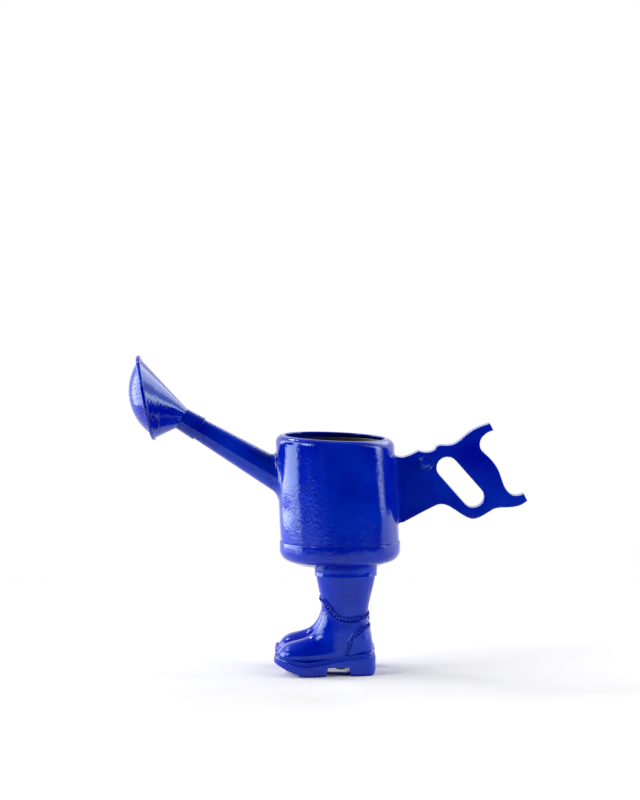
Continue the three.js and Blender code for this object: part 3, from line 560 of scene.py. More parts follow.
press(cone, (mouth_x - 0.046, -0.030, mouth_z + 0.002), (0.0, 0.0030, 0.0014), 0.013)
cone_tree = ray_tree(cone)
rose_lacquer = lacquer("rose_lacquer", grain=340.0, depth=0.00016, wave=0.6)
finished(cone, rose_lacquer, "rose", ["rose_cone"])


def smooth_line(points, count, closed=False):
    """Evenly counted points on a curve through the given ones."""
    total = len(points)
    spans = total if closed else total - 1
    made = []
    for i in range(count + (0 if closed else 1)):
        t = spans * i / count
        k = min(int(t), spans - 1)
        t -= k
        pick = [k - 1, k, k + 1, k + 2]
        if closed:
            p0, p1, p2, p3 = (Vector(points[j % total]) for j in pick)
        else:
            p0, p1, p2, p3 = (Vector(points[min(max(j, 0), total - 1)]) for j in pick)
        made.append(0.5 * ((2 * p1) + (p2 - p0) * t + (2 * p0 - 5 * p1 + 4 * p2 - p3) * t ** 2
                           + (3 * p1 - p0 - 3 * p2 + p3) * t ** 3))
    return made


def frame_on(path, i, closed):
    """The place, and the ways along, across and out, at one point of a path of (place, normal)."""
    total = len(path)
    place, normal = path[i]
    ahead = path[(i + 1) % total if closed else min(i + 1, total - 1)][0]
    behind = path[(i - 1) % total if closed else max(i - 1, 0)][0]
    along = (ahead - behind).normalized()
    out = (normal - along * normal.dot(along)).normalized()
    return place, along, out.cross(along), out


def swept(name, path, profile, closed):
    """A closed section, given as (across, out) points, pulled along a path of (place, normal)."""
    rings = [(0, i, 1, 1, 0.0) for i in range(len(path))]
    ends = not closed
    piece = ring_skin(name, rings, sides=len(profile), joined=closed, shut_start=ends, shut_end=ends)
    inside = Vector((sum(a for a, _ in profile), sum(h for _, h in profile))) / len(profile)
    for vertex in piece.data.vertices:
        place, _, across, out = frame_on(path, round(vertex.co.z), closed)
        k = round((atan2(vertex.co.y, vertex.co.x) / (2 * pi) - 0.25) * len(profile)) % len(profile)
        a, h = inside if Vector(vertex.co.xy).length < 0.5 else profile[k]
        vertex.co = place + across * a + out * h
    piece.data.update()
    bpy.ops.object.mode_set(mode="EDIT")
    bpy.ops.mesh.select_all(action="SELECT")
    bpy.ops.mesh.normals_make_consistent(inside=False)
    bpy.ops.object.mode_set(mode="OBJECT")
    return piece


# behind and above the middle of the rose's face, in millimetres
hook_line = [(12.4, -30.5), (11.6, -27.2), (13.6, -24.4), (17.0, -24.6), (20.0, -28.0), (20.8, -33.8),
             (19.6, -39.6), (17.4, -44.6)]
hook_path = []
for dx, dz in smooth_line(hook_line, 26):
    near = Vector((rose_x + dx / 1000, -0.2, rose_z + dz / 1000))
    place, normal, _, _ = cone_tree.ray_cast(near, Vector((0, 1, 0)))
    hook_path.append((place, normal))
hook_profile = [(-0.0018, -0.0008), (-0.0016, 0.0008), (-0.0008, 0.0019),
                (0.0008, 0.0019), (0.0016, 0.0008), (0.0018, -0.0008)]
hook = swept("rose_hook", hook_path, hook_profile, closed=False)
with_modifier(hook, "BEVEL", width=0.0006, segments=2, limit_method="ANGLE", angle_limit=radians(40))
finished(hook, rose_lacquer, "rose", angle=60)

rim_sides = 18
rim_profile = arc(bead_middle, 0.0, bead, 180, 180 - 360 * (rim_sides - 1) / rim_sides, rim_sides - 1)
rim = ring_skin("rose_rim_bead", [(0, z, r, r, 0.0) for r, z in rim_profile], sides=144, joined=True)
in_place(rim, rose_place)
finished(rim, rose_lacquer, "rose", ["rose_rim"], angle=60)

dome_height = 0.0253
curve_radius = (dome_radius ** 2 + dome_height ** 2) / (2 * dome_height)


def dome_z(radius):
    return sqrt(curve_radius ** 2 - radius ** 2) - (curve_radius - dome_height)


dome_rows = [dome_radius * (1 - i / 18) for i in range(1, 18)]
plate_profile = [(dome_radius + 0.0022, 0.0006), (dome_radius - 0.0008, 0.0006)]
plate_profile += [(radius, dome_z(radius)) for radius in dome_rows]
plate_rings = [(0, z, r, r, 0.0) for r, z in plate_profile]
plate = ring_skin("rose_plate_pierced", plate_rings, sides=128, shut_end=True)
with_modifier(plate, "SOLIDIFY", thickness=rose_sheet, offset=-1.0)
hole_radius = 0.0011
hole_pitch = 0.0077
drills = []
for ring in range(8):
    radius = hole_pitch * ring
    count = max(1, round(2 * pi * radius / hole_pitch))
    for k in range(count):
        turn = 2 * pi * (k + 0.5 * (ring % 2)) / count
        drills.append((radius * cos(turn), radius * sin(turn)))
bpy.ops.object.select_all(action="DESELECT")
drill_z = 0.014
bpy.ops.mesh.primitive_cylinder_add(
    vertices=10, radius=hole_radius, depth=0.05, location=(0, 0, drill_z))
drill = bpy.context.object
copies = []
for x, y in drills:
    copy = drill.copy()
    copy.data = drill.data.copy()
    copy.location = (x, y, drill_z)
    bpy.context.scene.collection.objects.link(copy)
    copies.append(copy)
bpy.ops.object.select_all(action="DESELECT")
for copy in copies:
    copy.select_set(True)
bpy.context.view_layer.objects.active = copies[0]
bpy.ops.object.join()
cutter = bpy.context.object
with_modifier(plate, "BOOLEAN", object=cutter, operation="DIFFERENCE", solver="EXACT")
bpy.data.objects.remove(cutter)
bpy.data.objects.remove(drill)
in_place(plate, rose_place)
finished(plate, rose_lacquer, "rose", ["rose_plate"], angle=40)

# ---- Saw handle -----------------------------------------------------------------------------------
# The grip is the flat slab of a panel saw's handle, with its horns, brow and slanted hand slot, sawn
# to outline and softened along every edge before it was cast.

slab_low, slab_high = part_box("saw_handle")
root_x = slab_low.x
slab_half = slab_high.y
slab_edge = 0.0014
SMOOTH, CORNER = "AUTO", "VECTOR"
# from the drum's end outwards and up from the ground, in millimetres
slab_outline = [
    (0, 322.3, CORNER), (9.5, 325.5, SMOOTH), (22.5, 331.8, CORNER), (28.5, 330, SMOOTH),
    (34.5, 329.6, SMOOTH), (40.5, 330.5, SMOOTH), (45.5, 333, SMOOTH), (49.5, 338, SMOOTH),
    (54.5, 340.3, CORNER), (69.5, 340.4, SMOOTH), (76.5, 342.6, SMOOTH), (84.5, 348, SMOOTH),
    (92.5, 355, SMOOTH), (100.5, 361, SMOOTH), (109.5, 366, SMOOTH), (129, 373.3, CORNER),
    (134.3, 363, CORNER), (127.5, 360.6, SMOOTH), (121.5, 356.5, SMOOTH), (116, 350, SMOOTH),
    (114.1, 341.8, SMOOTH), (116, 334, SMOOTH), (121.5, 328, SMOOTH), (128.5, 321.5, SMOOTH),
    (135.5, 313.5, SMOOTH), (142, 303, SMOOTH), (146.5, 291, SMOOTH), (151, 279, SMOOTH),
    (156.5, 270.5, SMOOTH), (164, 265.2, SMOOTH), (171.5, 264.6, SMOOTH), (180.7, 267, CORNER),
    (185.5, 256.8, CORNER), (176.5, 251, SMOOTH), (166.5, 248, SMOOTH), (155.5, 247, SMOOTH),
    (144.5, 246.6, SMOOTH), (136.5, 245, SMOOTH), (127.5, 240, SMOOTH), (117.5, 234, SMOOTH),
    (110.5, 231, SMOOTH), (104, 229.8, SMOOTH), (96.5, 231.6, SMOOTH), (87.5, 236.4, SMOOTH),
    (76.5, 243.6, SMOOTH), (67.5, 249, SMOOTH), (59.5, 251.6, SMOOTH), (52.5, 251.4, SMOOTH),
    (45.5, 248.6, SMOOTH), (0, 224.8, CORNER)]
slot_radius = 16.3
slot_ends = [(65.6, 306.6), (104.2, 262.9)]


def flat_piece(name, outlines, half_depth, edge):
    """A slab from closed outlines of (x, y, handle kind), with rounded edges, lying in the XY plane."""
    curve = bpy.data.curves.new(name, "CURVE")
    curve.dimensions = "2D"
    curve.fill_mode = "BOTH"
    curve.resolution_u = 10
    curve.extrude = half_depth - edge
    curve.bevel_depth = edge
    curve.bevel_resolution = 3
    curve.offset = -edge
    for outline in outlines:
        spline = curve.splines.new("BEZIER")
        spline.bezier_points.add(len(outline) - 1)
        spline.use_cyclic_u = True
        for point, (x, y, kind) in zip(spline.bezier_points, outline):
            point.co = (x, y, 0)
            point.handle_left_type = point.handle_right_type = kind
    piece = bpy.data.objects.new(name, curve)
    bpy.context.scene.collection.objects.link(piece)
    bpy.ops.object.select_all(action="DESELECT")
    bpy.context.view_layer.objects.active = piece
    piece.select_set(True)
    bpy.ops.object.convert(target="MESH")
    piece = bpy.context.object
    bpy.ops.object.mode_set(mode="EDIT")
    bpy.ops.mesh.select_all(action="SELECT")
    bpy.ops.mesh.remove_doubles(threshold=0.000001)
    bpy.ops.mesh.normals_make_consistent(inside=False)
    bpy.ops.object.mode_set(mode="OBJECT")
    return piece


slant = atan((slot_ends[1][1] - slot_ends[0][1]) / (slot_ends[1][0] - slot_ends[0][0]))
slot_outline = []
for (middle_x, middle_z), first in ((slot_ends[0], slant + pi / 2), (slot_ends[1], slant - pi / 2)):
    for k in range(9):
        turn = first + pi * k / 8
        kind = CORNER if k in (0, 8) else SMOOTH
        x, z = middle_x + slot_radius * cos(turn), middle_z + slot_radius * sin(turn)
        slot_outline.append((x, z, kind))


def slab_points(outline):
    """Turns millimetres from the slab's root into places in metres."""
    return [(root_x + x / 1000, z / 1000, kind) for x, z, kind in outline]


upright = Matrix.Rotation(radians(90), 4, "X")
slab_outlines = [slab_points(slab_outline), slab_points(slot_outline)]
slab = flat_piece("saw_handle_slab", slab_outlines, slab_half, slab_edge)
in_place(slab, upright)
handle_lacquer = lacquer(
    "handle_lacquer", grain=520.0, depth=0.00010, wave=0.05, pits=0.0, roughness=0.16)
finished(slab, handle_lacquer, "can", ["saw_handle"], angle=30, flat=True)

# ---- Handle root ----------------------------------------------------------------------------------
# A cast cuff carries the slab on the drum. It flares all round to the curve of the wall, and screws
# from inside the drum pull it up tight.

cuff_low, cuff_high = slab_outline[-1][1] / 1000, slab_outline[0][1] / 1000
cuff_half = (cuff_high - cuff_low) / 2
cuff_middle = (cuff_low + cuff_high) / 2
cuff_spread_y, cuff_spread_z = 0.0115, 0.0065


def cuff_guides(turn):
    """Guides round the slab's oblong end: out of its side, into the corner, and on to the wall."""
    most = max(abs(cos(turn)), abs(sin(turn)))
    y, z = cos(turn) / most, sin(turn) / most
    edge = Vector((root_x + 0.02, y * (slab_half - 0.00005), cuff_middle + z * (cuff_half - 0.00005)))
    spread = Vector((0, y ** 3 * cuff_spread_y, z ** 3 * cuff_spread_z))
    inwards = Vector((-1, 0, 0))
    corner, _ = onto_drum(edge, inwards)
    end, normal = onto_drum(edge + spread, inwards)
    return Vector((root_x + 0.0008, edge.y, edge.z)), corner, end - normal * 0.0003


cuff = fillet("handle_cuff", 160, 12, cuff_guides)
cuff_lacquer = lacquer("cuff_lacquer", grain=320.0, depth=0.00016, wave=0.3)
finished(cuff, cuff_lacquer, "can", ["handle_saddle"], angle=50)

# ---- Saw screw and nut ----------------------------------------------------------------------------
# A saw screw holds the handle's cheeks. On the near side it shows a raised ring round a flat button,
# and on the far side a slotted nut.

screw_low, screw_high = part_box("saw_screw")
screw_middle = ((screw_low.x + screw_high.x) / 2, (screw_low.z + screw_high.z) / 2)
head = 0.0119
face = slab_half + 0.0003
screw_profile = [
    (0.0040, face - 0.006), (0.0040, face - 0.0004), (head, face - 0.0004), (head, face + 0.0009),
    (head - 0.0004, face + 0.0019), (head - 0.0012, face + 0.0024), (head - 0.0020, face + 0.0019),
    (head - 0.0026, face + 0.0008), (head - 0.0030, face + 0.0004), (head - 0.0035, face + 0.0006),
    (head - 0.0041, face + 0.0014), (head - 0.0052, face + 0.0018), (0.0030, face + 0.0021),
    (0.0012, face + 0.0022)]
screw = ring_skin("saw_screw_head", [(0, z, r, r, 0.0) for r, z in screw_profile], sides=64,
                  shut_start=True, shut_end=True)
screw_place = Matrix.Translation((screw_middle[0], 0, screw_middle[1]))
in_place(screw, screw_place @ Matrix.Rotation(pi / 2, 4, "X"))
finished(screw, handle_lacquer, "can", ["saw_screw"], angle=40)

nut_profile = [
    (0.0040, face - 0.006), (0.0040, face - 0.0004), (head, face - 0.0004), (head, face + 0.0016),
    (head - 0.0009, face + 0.0024), (head - 0.004, face + 0.0027), (0.0012, face + 0.0028)]
nut = ring_skin("saw_nut_slotted", [(0, z, r, r, 0.0) for r, z in nut_profile], sides=64,
                shut_start=True, shut_end=True)
bpy.ops.object.select_all(action="DESELECT")
bpy.ops.mesh.primitive_cube_add(size=1, location=(0, 0, face + 0.0028))
slit = bpy.context.object
slit.scale = (0.03, 0.0016, 0.0026)
with_modifier(nut, "BOOLEAN", object=slit, operation="DIFFERENCE", solver="EXACT")
bpy.data.objects.remove(slit)
in_place(nut, screw_place @ Matrix.Rotation(-pi / 2, 4, "X"))
finished(nut, handle_lacquer, "can", ["saw_nut"], angle=40)

# ---- Boot uppers ----------------------------------------------------------------------------------
# Each leg is a child's wellington boot, cast solid: a tapered shaft, a full instep and a round toe.
# One is modelled lengthways about its ankle, and both boots are copies of it, toes turned out.

boot_x = axis_x + 0.009
boot_y = 0.041
toe_out = 6.0
boot_places = {}
for side, sign in (("left", -1), ("right", 1)):
    outwards = Matrix.Rotation(-sign * radians(toe_out), 4, "Z")
    boot_places[side] = Matrix.Translation((boot_x, sign * boot_y, 0)) @ outwards

# front distance and height, back distance and height, and half the width, in millimetres
upper_slices = [
    (47.6, 170.0, -47.0, 170.0, 36.5), (45.8, 149.0, -45.0, 149.0, 35.5),
    (42.5, 132.0, -41.0, 131.0, 33.0), (38.0, 115.0, -36.0, 112.0, 30.3),
    (36.5, 100.0, -32.5, 95.0, 28.7), (37.6, 86.0, -32.8, 79.0, 28.5),
    (40.6, 76.0, -36.8, 64.0, 29.0), (45.5, 67.0, -40.2, 49.0, 29.0),
    (52.0, 60.0, -41.5, 35.0, 28.5), (60.0, 55.5, -36.0, 21.0, 27.5),
    (68.0, 52.8, -8.0, 17.0, 28.0), (76.0, 51.0, 24.0, 14.0, 30.0),
    (84.0, 49.0, 52.0, 12.0, 31.5), (91.0, 46.0, 74.0, 14.0, 31.0),
    (97.0, 41.0, 87.0, 17.0, 27.5), (101.5, 34.5, 95.0, 20.0, 21.0),
    (104.0, 29.5, 100.5, 23.5, 11.0)]


def boot_ring(front, front_z, heel, heel_z, half_width):
    """One slice as a ring: the boot points down -X."""
    length = sqrt((front - heel) ** 2 + (front_z - heel_z) ** 2) / 2
    slope = degrees(atan((front_z - heel_z) / (front - heel)))
    return (-(front + heel) / 2000, (front_z + heel_z) / 2000, length / 1000, half_width / 1000, slope)


upper_rings = [boot_ring(*row) for row in upper_slices]
upper = ring_skin("boot_upper_model", upper_rings, sides=28, shut_start=True, shut_end=True)
with_modifier(upper, "SUBSURF", levels=2, render_levels=2)
upper_tree = ray_tree(upper)


def both_boots(model, piece, material, nodes, angle=40, flat=False):
    """Copies a boot piece to both legs, each with its own mesh, and drops the model."""
    for side, place in boot_places.items():
        copy = model.copy()
        copy.data = model.data.copy()
        copy.name = f"{side}_{piece}"
        bpy.context.scene.collection.objects.link(copy)
        in_place(copy, place)
        finished(copy, material, "can", [f"{side}_{node}" for node in nodes], angle=angle, flat=flat)
    bpy.data.objects.remove(model)


# the boots' creases get only a little painted shade
boot_lacquer = lacquer("boot_lacquer", grain=310.0, depth=0.00036, wave=0.3, pits=0.6, shade_sharpness=1.0)
both_boots(upper, "upper", boot_lacquer, ["boot_upper"], angle=60)

# ---- Boot hems ------------------------------------------------------------------------------------
# Round the top of each leg runs a plain turned hem, a little proud of the shaft, with a thin rolled
# bottom edge.

hem_low, hem_high = 148.0, 165.8


def shaft_half(z, grow):
    """The shaft's ring at a height in millimetres, grown outwards by metres."""
    (f0, z0, b0, _, w0), (f1, z1, b1, _, w1) = upper_slices[0], upper_slices[1]
    t = (z - z0) / (z1 - z0)
    front, heel, width = f0 + (f1 - f0) * t, b0 + (b1 - b0) * t, w0 + (w1 - w0) * t
    return (-(front + heel) / 2000, z / 1000, (front - heel) / 2000 + grow, width / 1000 + grow, 0.0)


hem_rows = [
    (hem_low + 0.5, -0.001), (hem_low, 0.0003), (hem_low + 0.2, 0.0009), (hem_low + 0.7, 0.0012),
    (hem_low + 1.4, 0.0012), (hem_low + 2.2, 0.0009), (hem_low + 8, 0.0007), (hem_high - 1, 0.0006),
    (hem_high, 0.0004), (hem_high, -0.001)]
hem = ring_skin("hem_model", [shaft_half(z, grow) for z, grow in hem_rows], sides=96, joined=True)
both_boots(hem, "hem", boot_lacquer, ["boot_hem"], angle=50)

# ---- Boot straps ----------------------------------------------------------------------------------
# A stitched strip dips round each ankle, and another arches over the heel. Each is a low band with a
# rounded ridge along either edge and a row of raised stitches in the channel between.


def height_on(line, distance):
    """The height of a line of (distance, height) points, sorted by falling distance, at a distance."""
    for (d0, z0), (d1, z1) in zip(line, line[1:]):
        if d1 <= distance <= d0:
            return z0 + (z1 - z0) * (d0 - distance) / max(d0 - d1, 1e-9)
    return line[0][1] if distance > line[0][0] else line[-1][1]


def on_upper(origin, direction):
    """Where a ray first meets the boot's upper, and the skin's normal there."""
    place, normal, _, _ = upper_tree.ray_cast(Vector(origin), Vector(direction).normalized())
    return place, normal


def joined_pieces(pieces):
    """Joins pieces into the first of them."""
    bpy.ops.object.select_all(action="DESELECT")
    for piece in pieces:
        piece.select_set(True)
    bpy.context.view_layer.objects.active = pieces[0]
    bpy.ops.object.join()
    return bpy.context.object


def stitched(name, path, closed, spacing=0.0049):
    """A ladder of short raised stitches across the channel of the band on the path."""
    bpy.ops.object.select_all(action="DESELECT")
    bpy.ops.mesh.primitive_uv_sphere_add(segments=8, ring_count=5, radius=1)
    model = bpy.context.object
    made = []
    walked = 0.0
    for i in range(len(path) - (0 if closed else 1)):
        place, along, across, out = frame_on(path, i, closed)
        length = (path[(i + 1) % len(path)][0] - place).length
        while walked < length:
            stitch = model.copy()
            stitch.data = model.data.copy()
            turn = Matrix((along * 0.0016, across * 0.0030, out * 0.0024)).transposed().to_4x4()
            stitch.data.transform(Matrix.Translation(place + along * walked + out * 0.0005) @ turn)
            bpy.context.scene.collection.objects.link(stitch)
            made.append(stitch)
            walked += spacing
        walked -= length
    bpy.data.objects.remove(model)
    piece = joined_pieces(made)
    piece.name = name
    return piece


# across the band and out from the upper, in metres
strap_profile = [
    (-0.0054, -0.0010), (-0.0053, 0.0005), (-0.0048, 0.0016), (-0.0040, 0.0020), (-0.0032, 0.0016),
    (-0.0027, 0.0005), (-0.0023, 0.0001), (0.0023, 0.0001), (0.0027, 0.0005), (0.0032, 0.0016),
    (0.0040, 0.0020), (0.0048, 0.0016), (0.0053, 0.0005), (0.0054, -0.0010)]
ankle_line = [(60, 123), (37, 113.5), (27, 101.5), (20, 92), (12, 86.5), (0, 84.5), (-12, 85), (-24, 88),
              (-33, 91.5), (-60, 96)]
ankle_line = [tuple(p) for p in smooth_line(ankle_line, 60)]
ankle_path = []
for k in range(120):
    turn = 2 * pi * k / 120
    z = 95.0
    for _ in range(6):
        way = Vector((cos(turn), sin(turn), 0))
        place, normal = on_upper(way * 0.2 + Vector((0, 0, z / 1000)), -way)
        z += 0.7 * (height_on(ankle_line, -place.x * 1000) - z)
    ankle_path.append((place, normal))
ankle = swept("ankle_model", ankle_path, strap_profile, closed=True)
ankle_stitches = stitched("ankle_stitch_model", ankle_path, closed=True)
both_boots(ankle, "ankle_strip", boot_lacquer, ["ankle_strap"], angle=60)
both_boots(ankle_stitches, "ankle_stitches", boot_lacquer, [], angle=80)

heel_line = smooth_line([(1, 18), (1, 32), (-0.5, 43), (-4, 52), (-11, 62), (-21, 70), (-30, 73.5)], 34)
heel_side = []
for distance, z in heel_line:
    place, normal = on_upper((-distance / 1000, 0.2, z / 1000), (0, -1, 0))
    heel_side.append((place, normal))
last = heel_side[-1][0]
back_turn = abs(Vector((last.x, last.y)).angle_signed(Vector((1, 0))))
heel_back = []
for k in range(1, 12):
    turn = back_turn * (1 - k / 12)
    way = Vector((cos(turn), sin(turn), 0))
    z = 0.0735 + 0.001 * sin(pi / 2 * k / 12)
    heel_back.append(on_upper(way * 0.2 + Vector((0, 0, z)), -way))
mirrored = [(Vector((p.x, -p.y, p.z)), Vector((n.x, -n.y, n.z))) for p, n in heel_side + heel_back[:-1]]
heel_path = heel_side + heel_back + mirrored[::-1]
heel = swept("heel_model", heel_path, strap_profile, closed=False)
heel_stitches = stitched("heel_stitch_model", heel_path, closed=False)
both_boots(heel, "heel_strip", boot_lacquer, ["heel_strap"], angle=60)
both_boots(heel_stitches, "heel_stitches", boot_lacquer, [], angle=80)

# ---- Soles ----------------------------------------------------------------------------------------
# A ribbed welt runs round the foot where the upper meets the sole. Below it is a thick outsole with a
# flat tread, an arch, a heel block, and lugs cut across its lower edge.

# distance forward of the ankle and half width, from the heel to the toe, in millimetres
sole_half = [(-44.5, 0), (-42, 14), (-34, 24), (-20, 27.5), (0, 27), (22, 27.5), (42, 32), (60, 34),
             (78, 32.5), (93, 26.5), (104, 15.5), (108.5, 0)]
sole_round = smooth_line(sole_half + [(d, -w) for d, w in reversed(sole_half[1:-1])], 132, closed=True)
sole_rise = [(-60, 28), (-44, 27), (-20, 25), (0, 23), (30, 18), (58, 14.5), (74, 16), (90, 20),
             (108, 26), (120, 30)]
sole_top = [tuple(p) for p in smooth_line(sole_rise, 60)][::-1]


def sole_path(inset, lift):
    """The sole's edge, moved in and up by millimetres, with its outward normals."""
    path = []
    for i, point in enumerate(sole_round):
        ahead, behind = sole_round[(i + 1) % len(sole_round)], sole_round[i - 1]
        along = (ahead - behind).normalized()
        out = Vector((along.y, -along.x))
        out = out if out.dot(point - Vector((30, 0))) > 0 else -out
        spot = point - out * inset
        z = height_on(sole_top, point.x) + lift
        path.append((Vector((-spot.x, spot.y, z)) / 1000, Vector((-out.x, out.y, 0))))
    return path


welt_profile = [
    (-0.0024, -0.0060), (-0.0024, 0.0002), (-0.0017, 0.0012), (-0.0006, 0.0013), (0.0003, 0.0006),
    (0.0008, 0.0002), (0.0016, 0.0005), (0.0024, 0.0009), (0.0031, 0.0005), (0.0034, -0.0004),
    (0.0042, -0.0004), (0.0050, 0.0000), (0.0057, -0.0008), (0.0062, -0.0030), (0.0058, -0.0080)]
welt = swept("welt_model", sole_path(1.6, 1.6), welt_profile, closed=True)
both_boots(welt, "welt_ribs", boot_lacquer, ["boot_welt"], angle=60)

# the tread line from the heel, over the arch, to the toe, in millimetres
ground = [(-60, 7), (-43, 6), (-38, 0), (-4, 0), (-2.5, 13), (30, 13), (33.5, 0), (70, 0), (89, 8),
          (106, 18), (120, 27)]
side_outline = [(-d / 1000, z / 1000, CORNER) for d, z in ground]
side_outline += [(-d / 1000, z / 1000, CORNER) for d, z in sole_top[::4]]
plan_outline = [(-p.x / 1000, p.y / 1000, SMOOTH) for p in sole_round[::3]]
sole = flat_piece("sole_model", [plan_outline], 0.04, 0.0)
profile_block = flat_piece("profile_block", [side_outline], 0.06, 0.0)
in_place(profile_block, upright)
with_modifier(sole, "BOOLEAN", object=profile_block, operation="INTERSECT", solver="EXACT")
bpy.data.objects.remove(profile_block)
lug_pitch = 4.4
grooves = []
for k in range(32):
    distance = -40 + lug_pitch * (k + 0.5)
    if -3 < distance < 35:
        continue
    floor_z = height_on(ground[::-1], distance) / 1000
    for sign in (-1, 1):
        bpy.ops.object.select_all(action="DESELECT")
        bpy.ops.mesh.primitive_cylinder_add(vertices=8, radius=0.0010, depth=0.022)
        groove = bpy.context.object
        spot = Matrix.Translation((-distance / 1000, sign * 0.0305, floor_z + 0.0008))
        tall = Matrix.Scale(2.6, 4, (0, 1, 0))
        groove.data.transform(spot @ Matrix.Rotation(pi / 2, 4, "X") @ tall)
        grooves.append(groove)
cutter = joined_pieces(grooves)
with_modifier(sole, "BOOLEAN", object=cutter, operation="DIFFERENCE", solver="EXACT")
bpy.data.objects.remove(cutter)
with_modifier(sole, "BEVEL", width=0.0005, segments=2, limit_method="ANGLE", angle_limit=radians(35))
both_boots(sole, "outsole_lugged", boot_lacquer, ["outsole"], angle=35, flat=True)

# ---- Hidden fixings -------------------------------------------------------------------------------
# Zinc-plated bolts, nuts and washers hold the legs and the handle, and two rubber rings carry the
# liner and seal the rose. They keep their shapes from the frame.

zinc, tree, shader, place = new_material("zinc_steel")
spangle = texture(tree, "ShaderNodeTexVoronoi", place, 700.0)
brushed = texture(tree, "ShaderNodeTexNoise", place, 2600.0, detail=2.0)
zinc_grey = mixed(tree, spangle.outputs["Distance"], (0.10, 0.10, 0.11), (0.22, 0.22, 0.23))
tree.links.new(zinc_grey, shader.inputs["Base Color"])
satin = math_node(tree, "MULTIPLY_ADD", brushed.outputs["Fac"], 0.3, 0.22)
tree.links.new(satin, shader.inputs["Roughness"])
shader.inputs["Metallic"].default_value = 1.0
bumped(tree, shader, brushed.outputs["Fac"], 0.5, 0.00003)
rubber, tree, shader, place = new_material("seal_rubber")
bloom = texture(tree, "ShaderNodeTexNoise", place, 60.0, detail=5.0)
pebble = texture(tree, "ShaderNodeTexNoise", place, 2200.0, detail=2.0)
rubber_black = mixed(tree, bloom.outputs["Fac"], (0.008, 0.008, 0.008), (0.035, 0.034, 0.033))
tree.links.new(rubber_black, shader.inputs["Base Color"])
chalky = math_node(tree, "MULTIPLY_ADD", bloom.outputs["Fac"], 0.25, 0.6)
tree.links.new(chalky, shader.inputs["Roughness"])
bumped(tree, shader, pebble.outputs["Fac"], 0.6, 0.00008)
slots = {row["node"]: row["material_slot"] for row in frame["record"]["subparts"]}
for node, piece in frame["nodes"].items():
    finish = {"zinc_steel": zinc, "seal_rubber": rubber}.get(slots[node])
    if finish:
        piece.data.materials.clear()
        piece.data.materials.append(finish)

# ---- Studio ---------------------------------------------------------------------------------------
# A white table under big soft lights. The room in front of the table is dark, so upright gloss
# surfaces keep their full colour, and what faces the table or the white walls goes milky.

camera = bpy.data.objects.new("camera", bpy.data.cameras.new("camera"))
bpy.context.scene.collection.objects.link(camera)
camera.location = (axis_x - 0.030, -5.085, 0.7953)
camera.rotation_euler = (radians(90 - 4.36), 0, 0)
camera.data.lens = 153.0
camera.data.sensor_width = 36.0
camera.data.clip_end = 60.0
bpy.context.scene.camera = camera
bpy.context.scene.view_settings.view_transform = "Standard"
bpy.context.scene.view_settings.look = "None"

bpy.ops.object.select_all(action="DESELECT")
bpy.ops.mesh.primitive_plane_add(size=1, location=(0, -0.06, -0.0003))
floor = bpy.context.object
floor.name = "table_top"
floor.scale = (2.8, 2.2, 1)
in_place(floor)
table_white, tree, shader, place = new_material("table_white")
fleck = texture(tree, "ShaderNodeTexNoise", place, 300.0, detail=2.0)
table_paint = mixed(tree, fleck.outputs["Fac"], (0.79, 0.79, 0.79), (0.82, 0.82, 0.82))
tree.links.new(table_paint, shader.inputs["Base Color"])
shader.inputs["Roughness"].default_value = 0.9
shader.inputs["Specular IOR Level"].default_value = 0.1
floor.data.materials.append(table_white)


def soft_light(name, place, aim, width, height, power):
    """A soft box of this width, height and power, aimed at a spot."""
    lamp = bpy.data.lights.new(name, "AREA")
    lamp.shape = "RECTANGLE"
    lamp.size, lamp.size_y = width, height
    lamp.energy = power
    light = bpy.data.objects.new(name, lamp)
    light.location = place
    light.rotation_euler = (Vector(aim) - Vector(place)).to_track_quat("-Z", "Y").to_euler()
    bpy.context.scene.collection.objects.link(light)
    return light


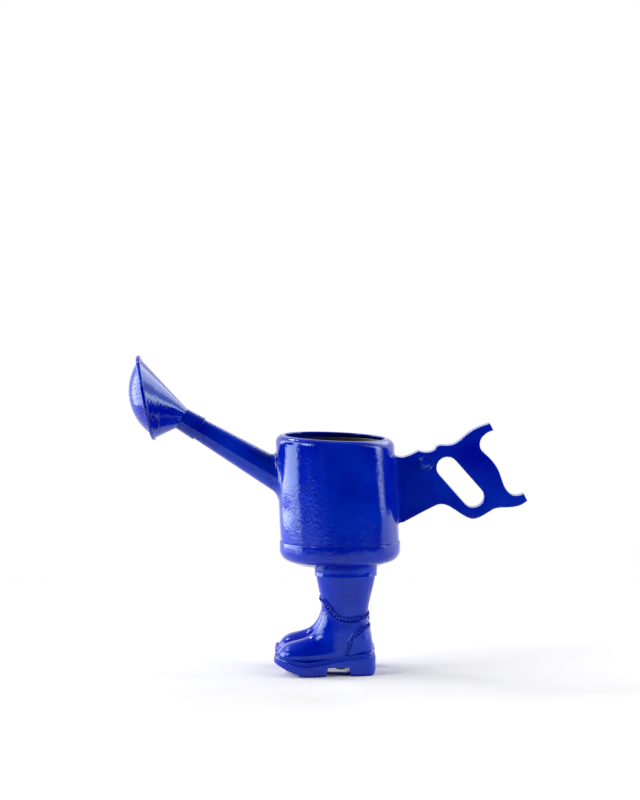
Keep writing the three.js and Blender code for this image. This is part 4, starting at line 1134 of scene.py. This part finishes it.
soft_light("left_key", (-2.6, -1.4, 2.3), (0, 0, 0.2), 1.3, 1.5, 64)
soft_light("right_softbox", (1.24, 1.5, 1.6), (0, 0, 0.3), 1.5, 1.1, 14)
soft_light("right_window", (2.5, 0.1, 0.9), (0, 0, 0.25), 0.42, 1.4, 11)
soft_light("right_strip", (1.7, -0.26, 1.7), (0, 0, 0.35), 0.10, 0.9, 4)
right_fill = soft_light("right_fill", (2.2, -1.6, 1.1), (0, 0, 0.25), 0.8, 1.2, 28)
right_fill.visible_glossy = False
soft_light("left_glint", (-1.2, 1.2, 2.0), (0, 0, 0.2), 0.35, 0.35, 11)

world = bpy.data.worlds.new("studio")
bpy.context.scene.world = world
world.use_nodes = True
tree = world.node_tree
sky = tree.nodes["Background"]
way = tree.nodes.new("ShaderNodeTexCoord").outputs["Generated"]
parts = tree.nodes.new("ShaderNodeSeparateXYZ")
tree.links.new(way, parts.inputs[0])


def ramp(value, low, high, start, end):
    """Goes smoothly from start to end as the value goes from low to high."""
    node = tree.nodes.new("ShaderNodeMapRange")
    node.interpolation_type = "SMOOTHSTEP"
    tree.links.new(value, node.inputs["Value"])
    for socket, amount in (("From Min", low), ("From Max", high), ("To Min", start), ("To Max", end)):
        node.inputs[socket].default_value = amount
    return node.outputs[0]


forward = ramp(parts.outputs["X"], -0.86, -0.76, 0.15, 0.0)
behind = ramp(math_node(tree, "ADD", parts.outputs["Y"], forward), -0.06, 0.0, 0.0, 1.0)
wall = ramp(parts.outputs["Z"], 0.58, 0.68, 1.0, 0.3)
right = ramp(parts.outputs["X"], 0.66, 0.80, 1.0, 1.5)
left = ramp(parts.outputs["X"], -0.80, -0.64, 6.6, 1.0)
strip = math_node(tree, "COMPARE", parts.outputs["X"], -0.47, 0.035)
strip = math_node(tree, "MULTIPLY", strip, 0.16)
room = math_node(tree, "MULTIPLY", behind, wall)
room = math_node(tree, "MULTIPLY", room, math_node(tree, "MULTIPLY", right, left))
room = math_node(tree, "MAXIMUM", room, strip)
seen = tree.nodes.new("ShaderNodeLightPath").outputs["Is Camera Ray"]
unseen = math_node(tree, "SUBTRACT", 1.0, seen)
strength = math_node(tree, "MULTIPLY_ADD", room, unseen, seen)
sky.inputs["Color"].default_value = (1.0, 1.0, 1.0, 1.0)
tree.links.new(strength, sky.inputs["Strength"])
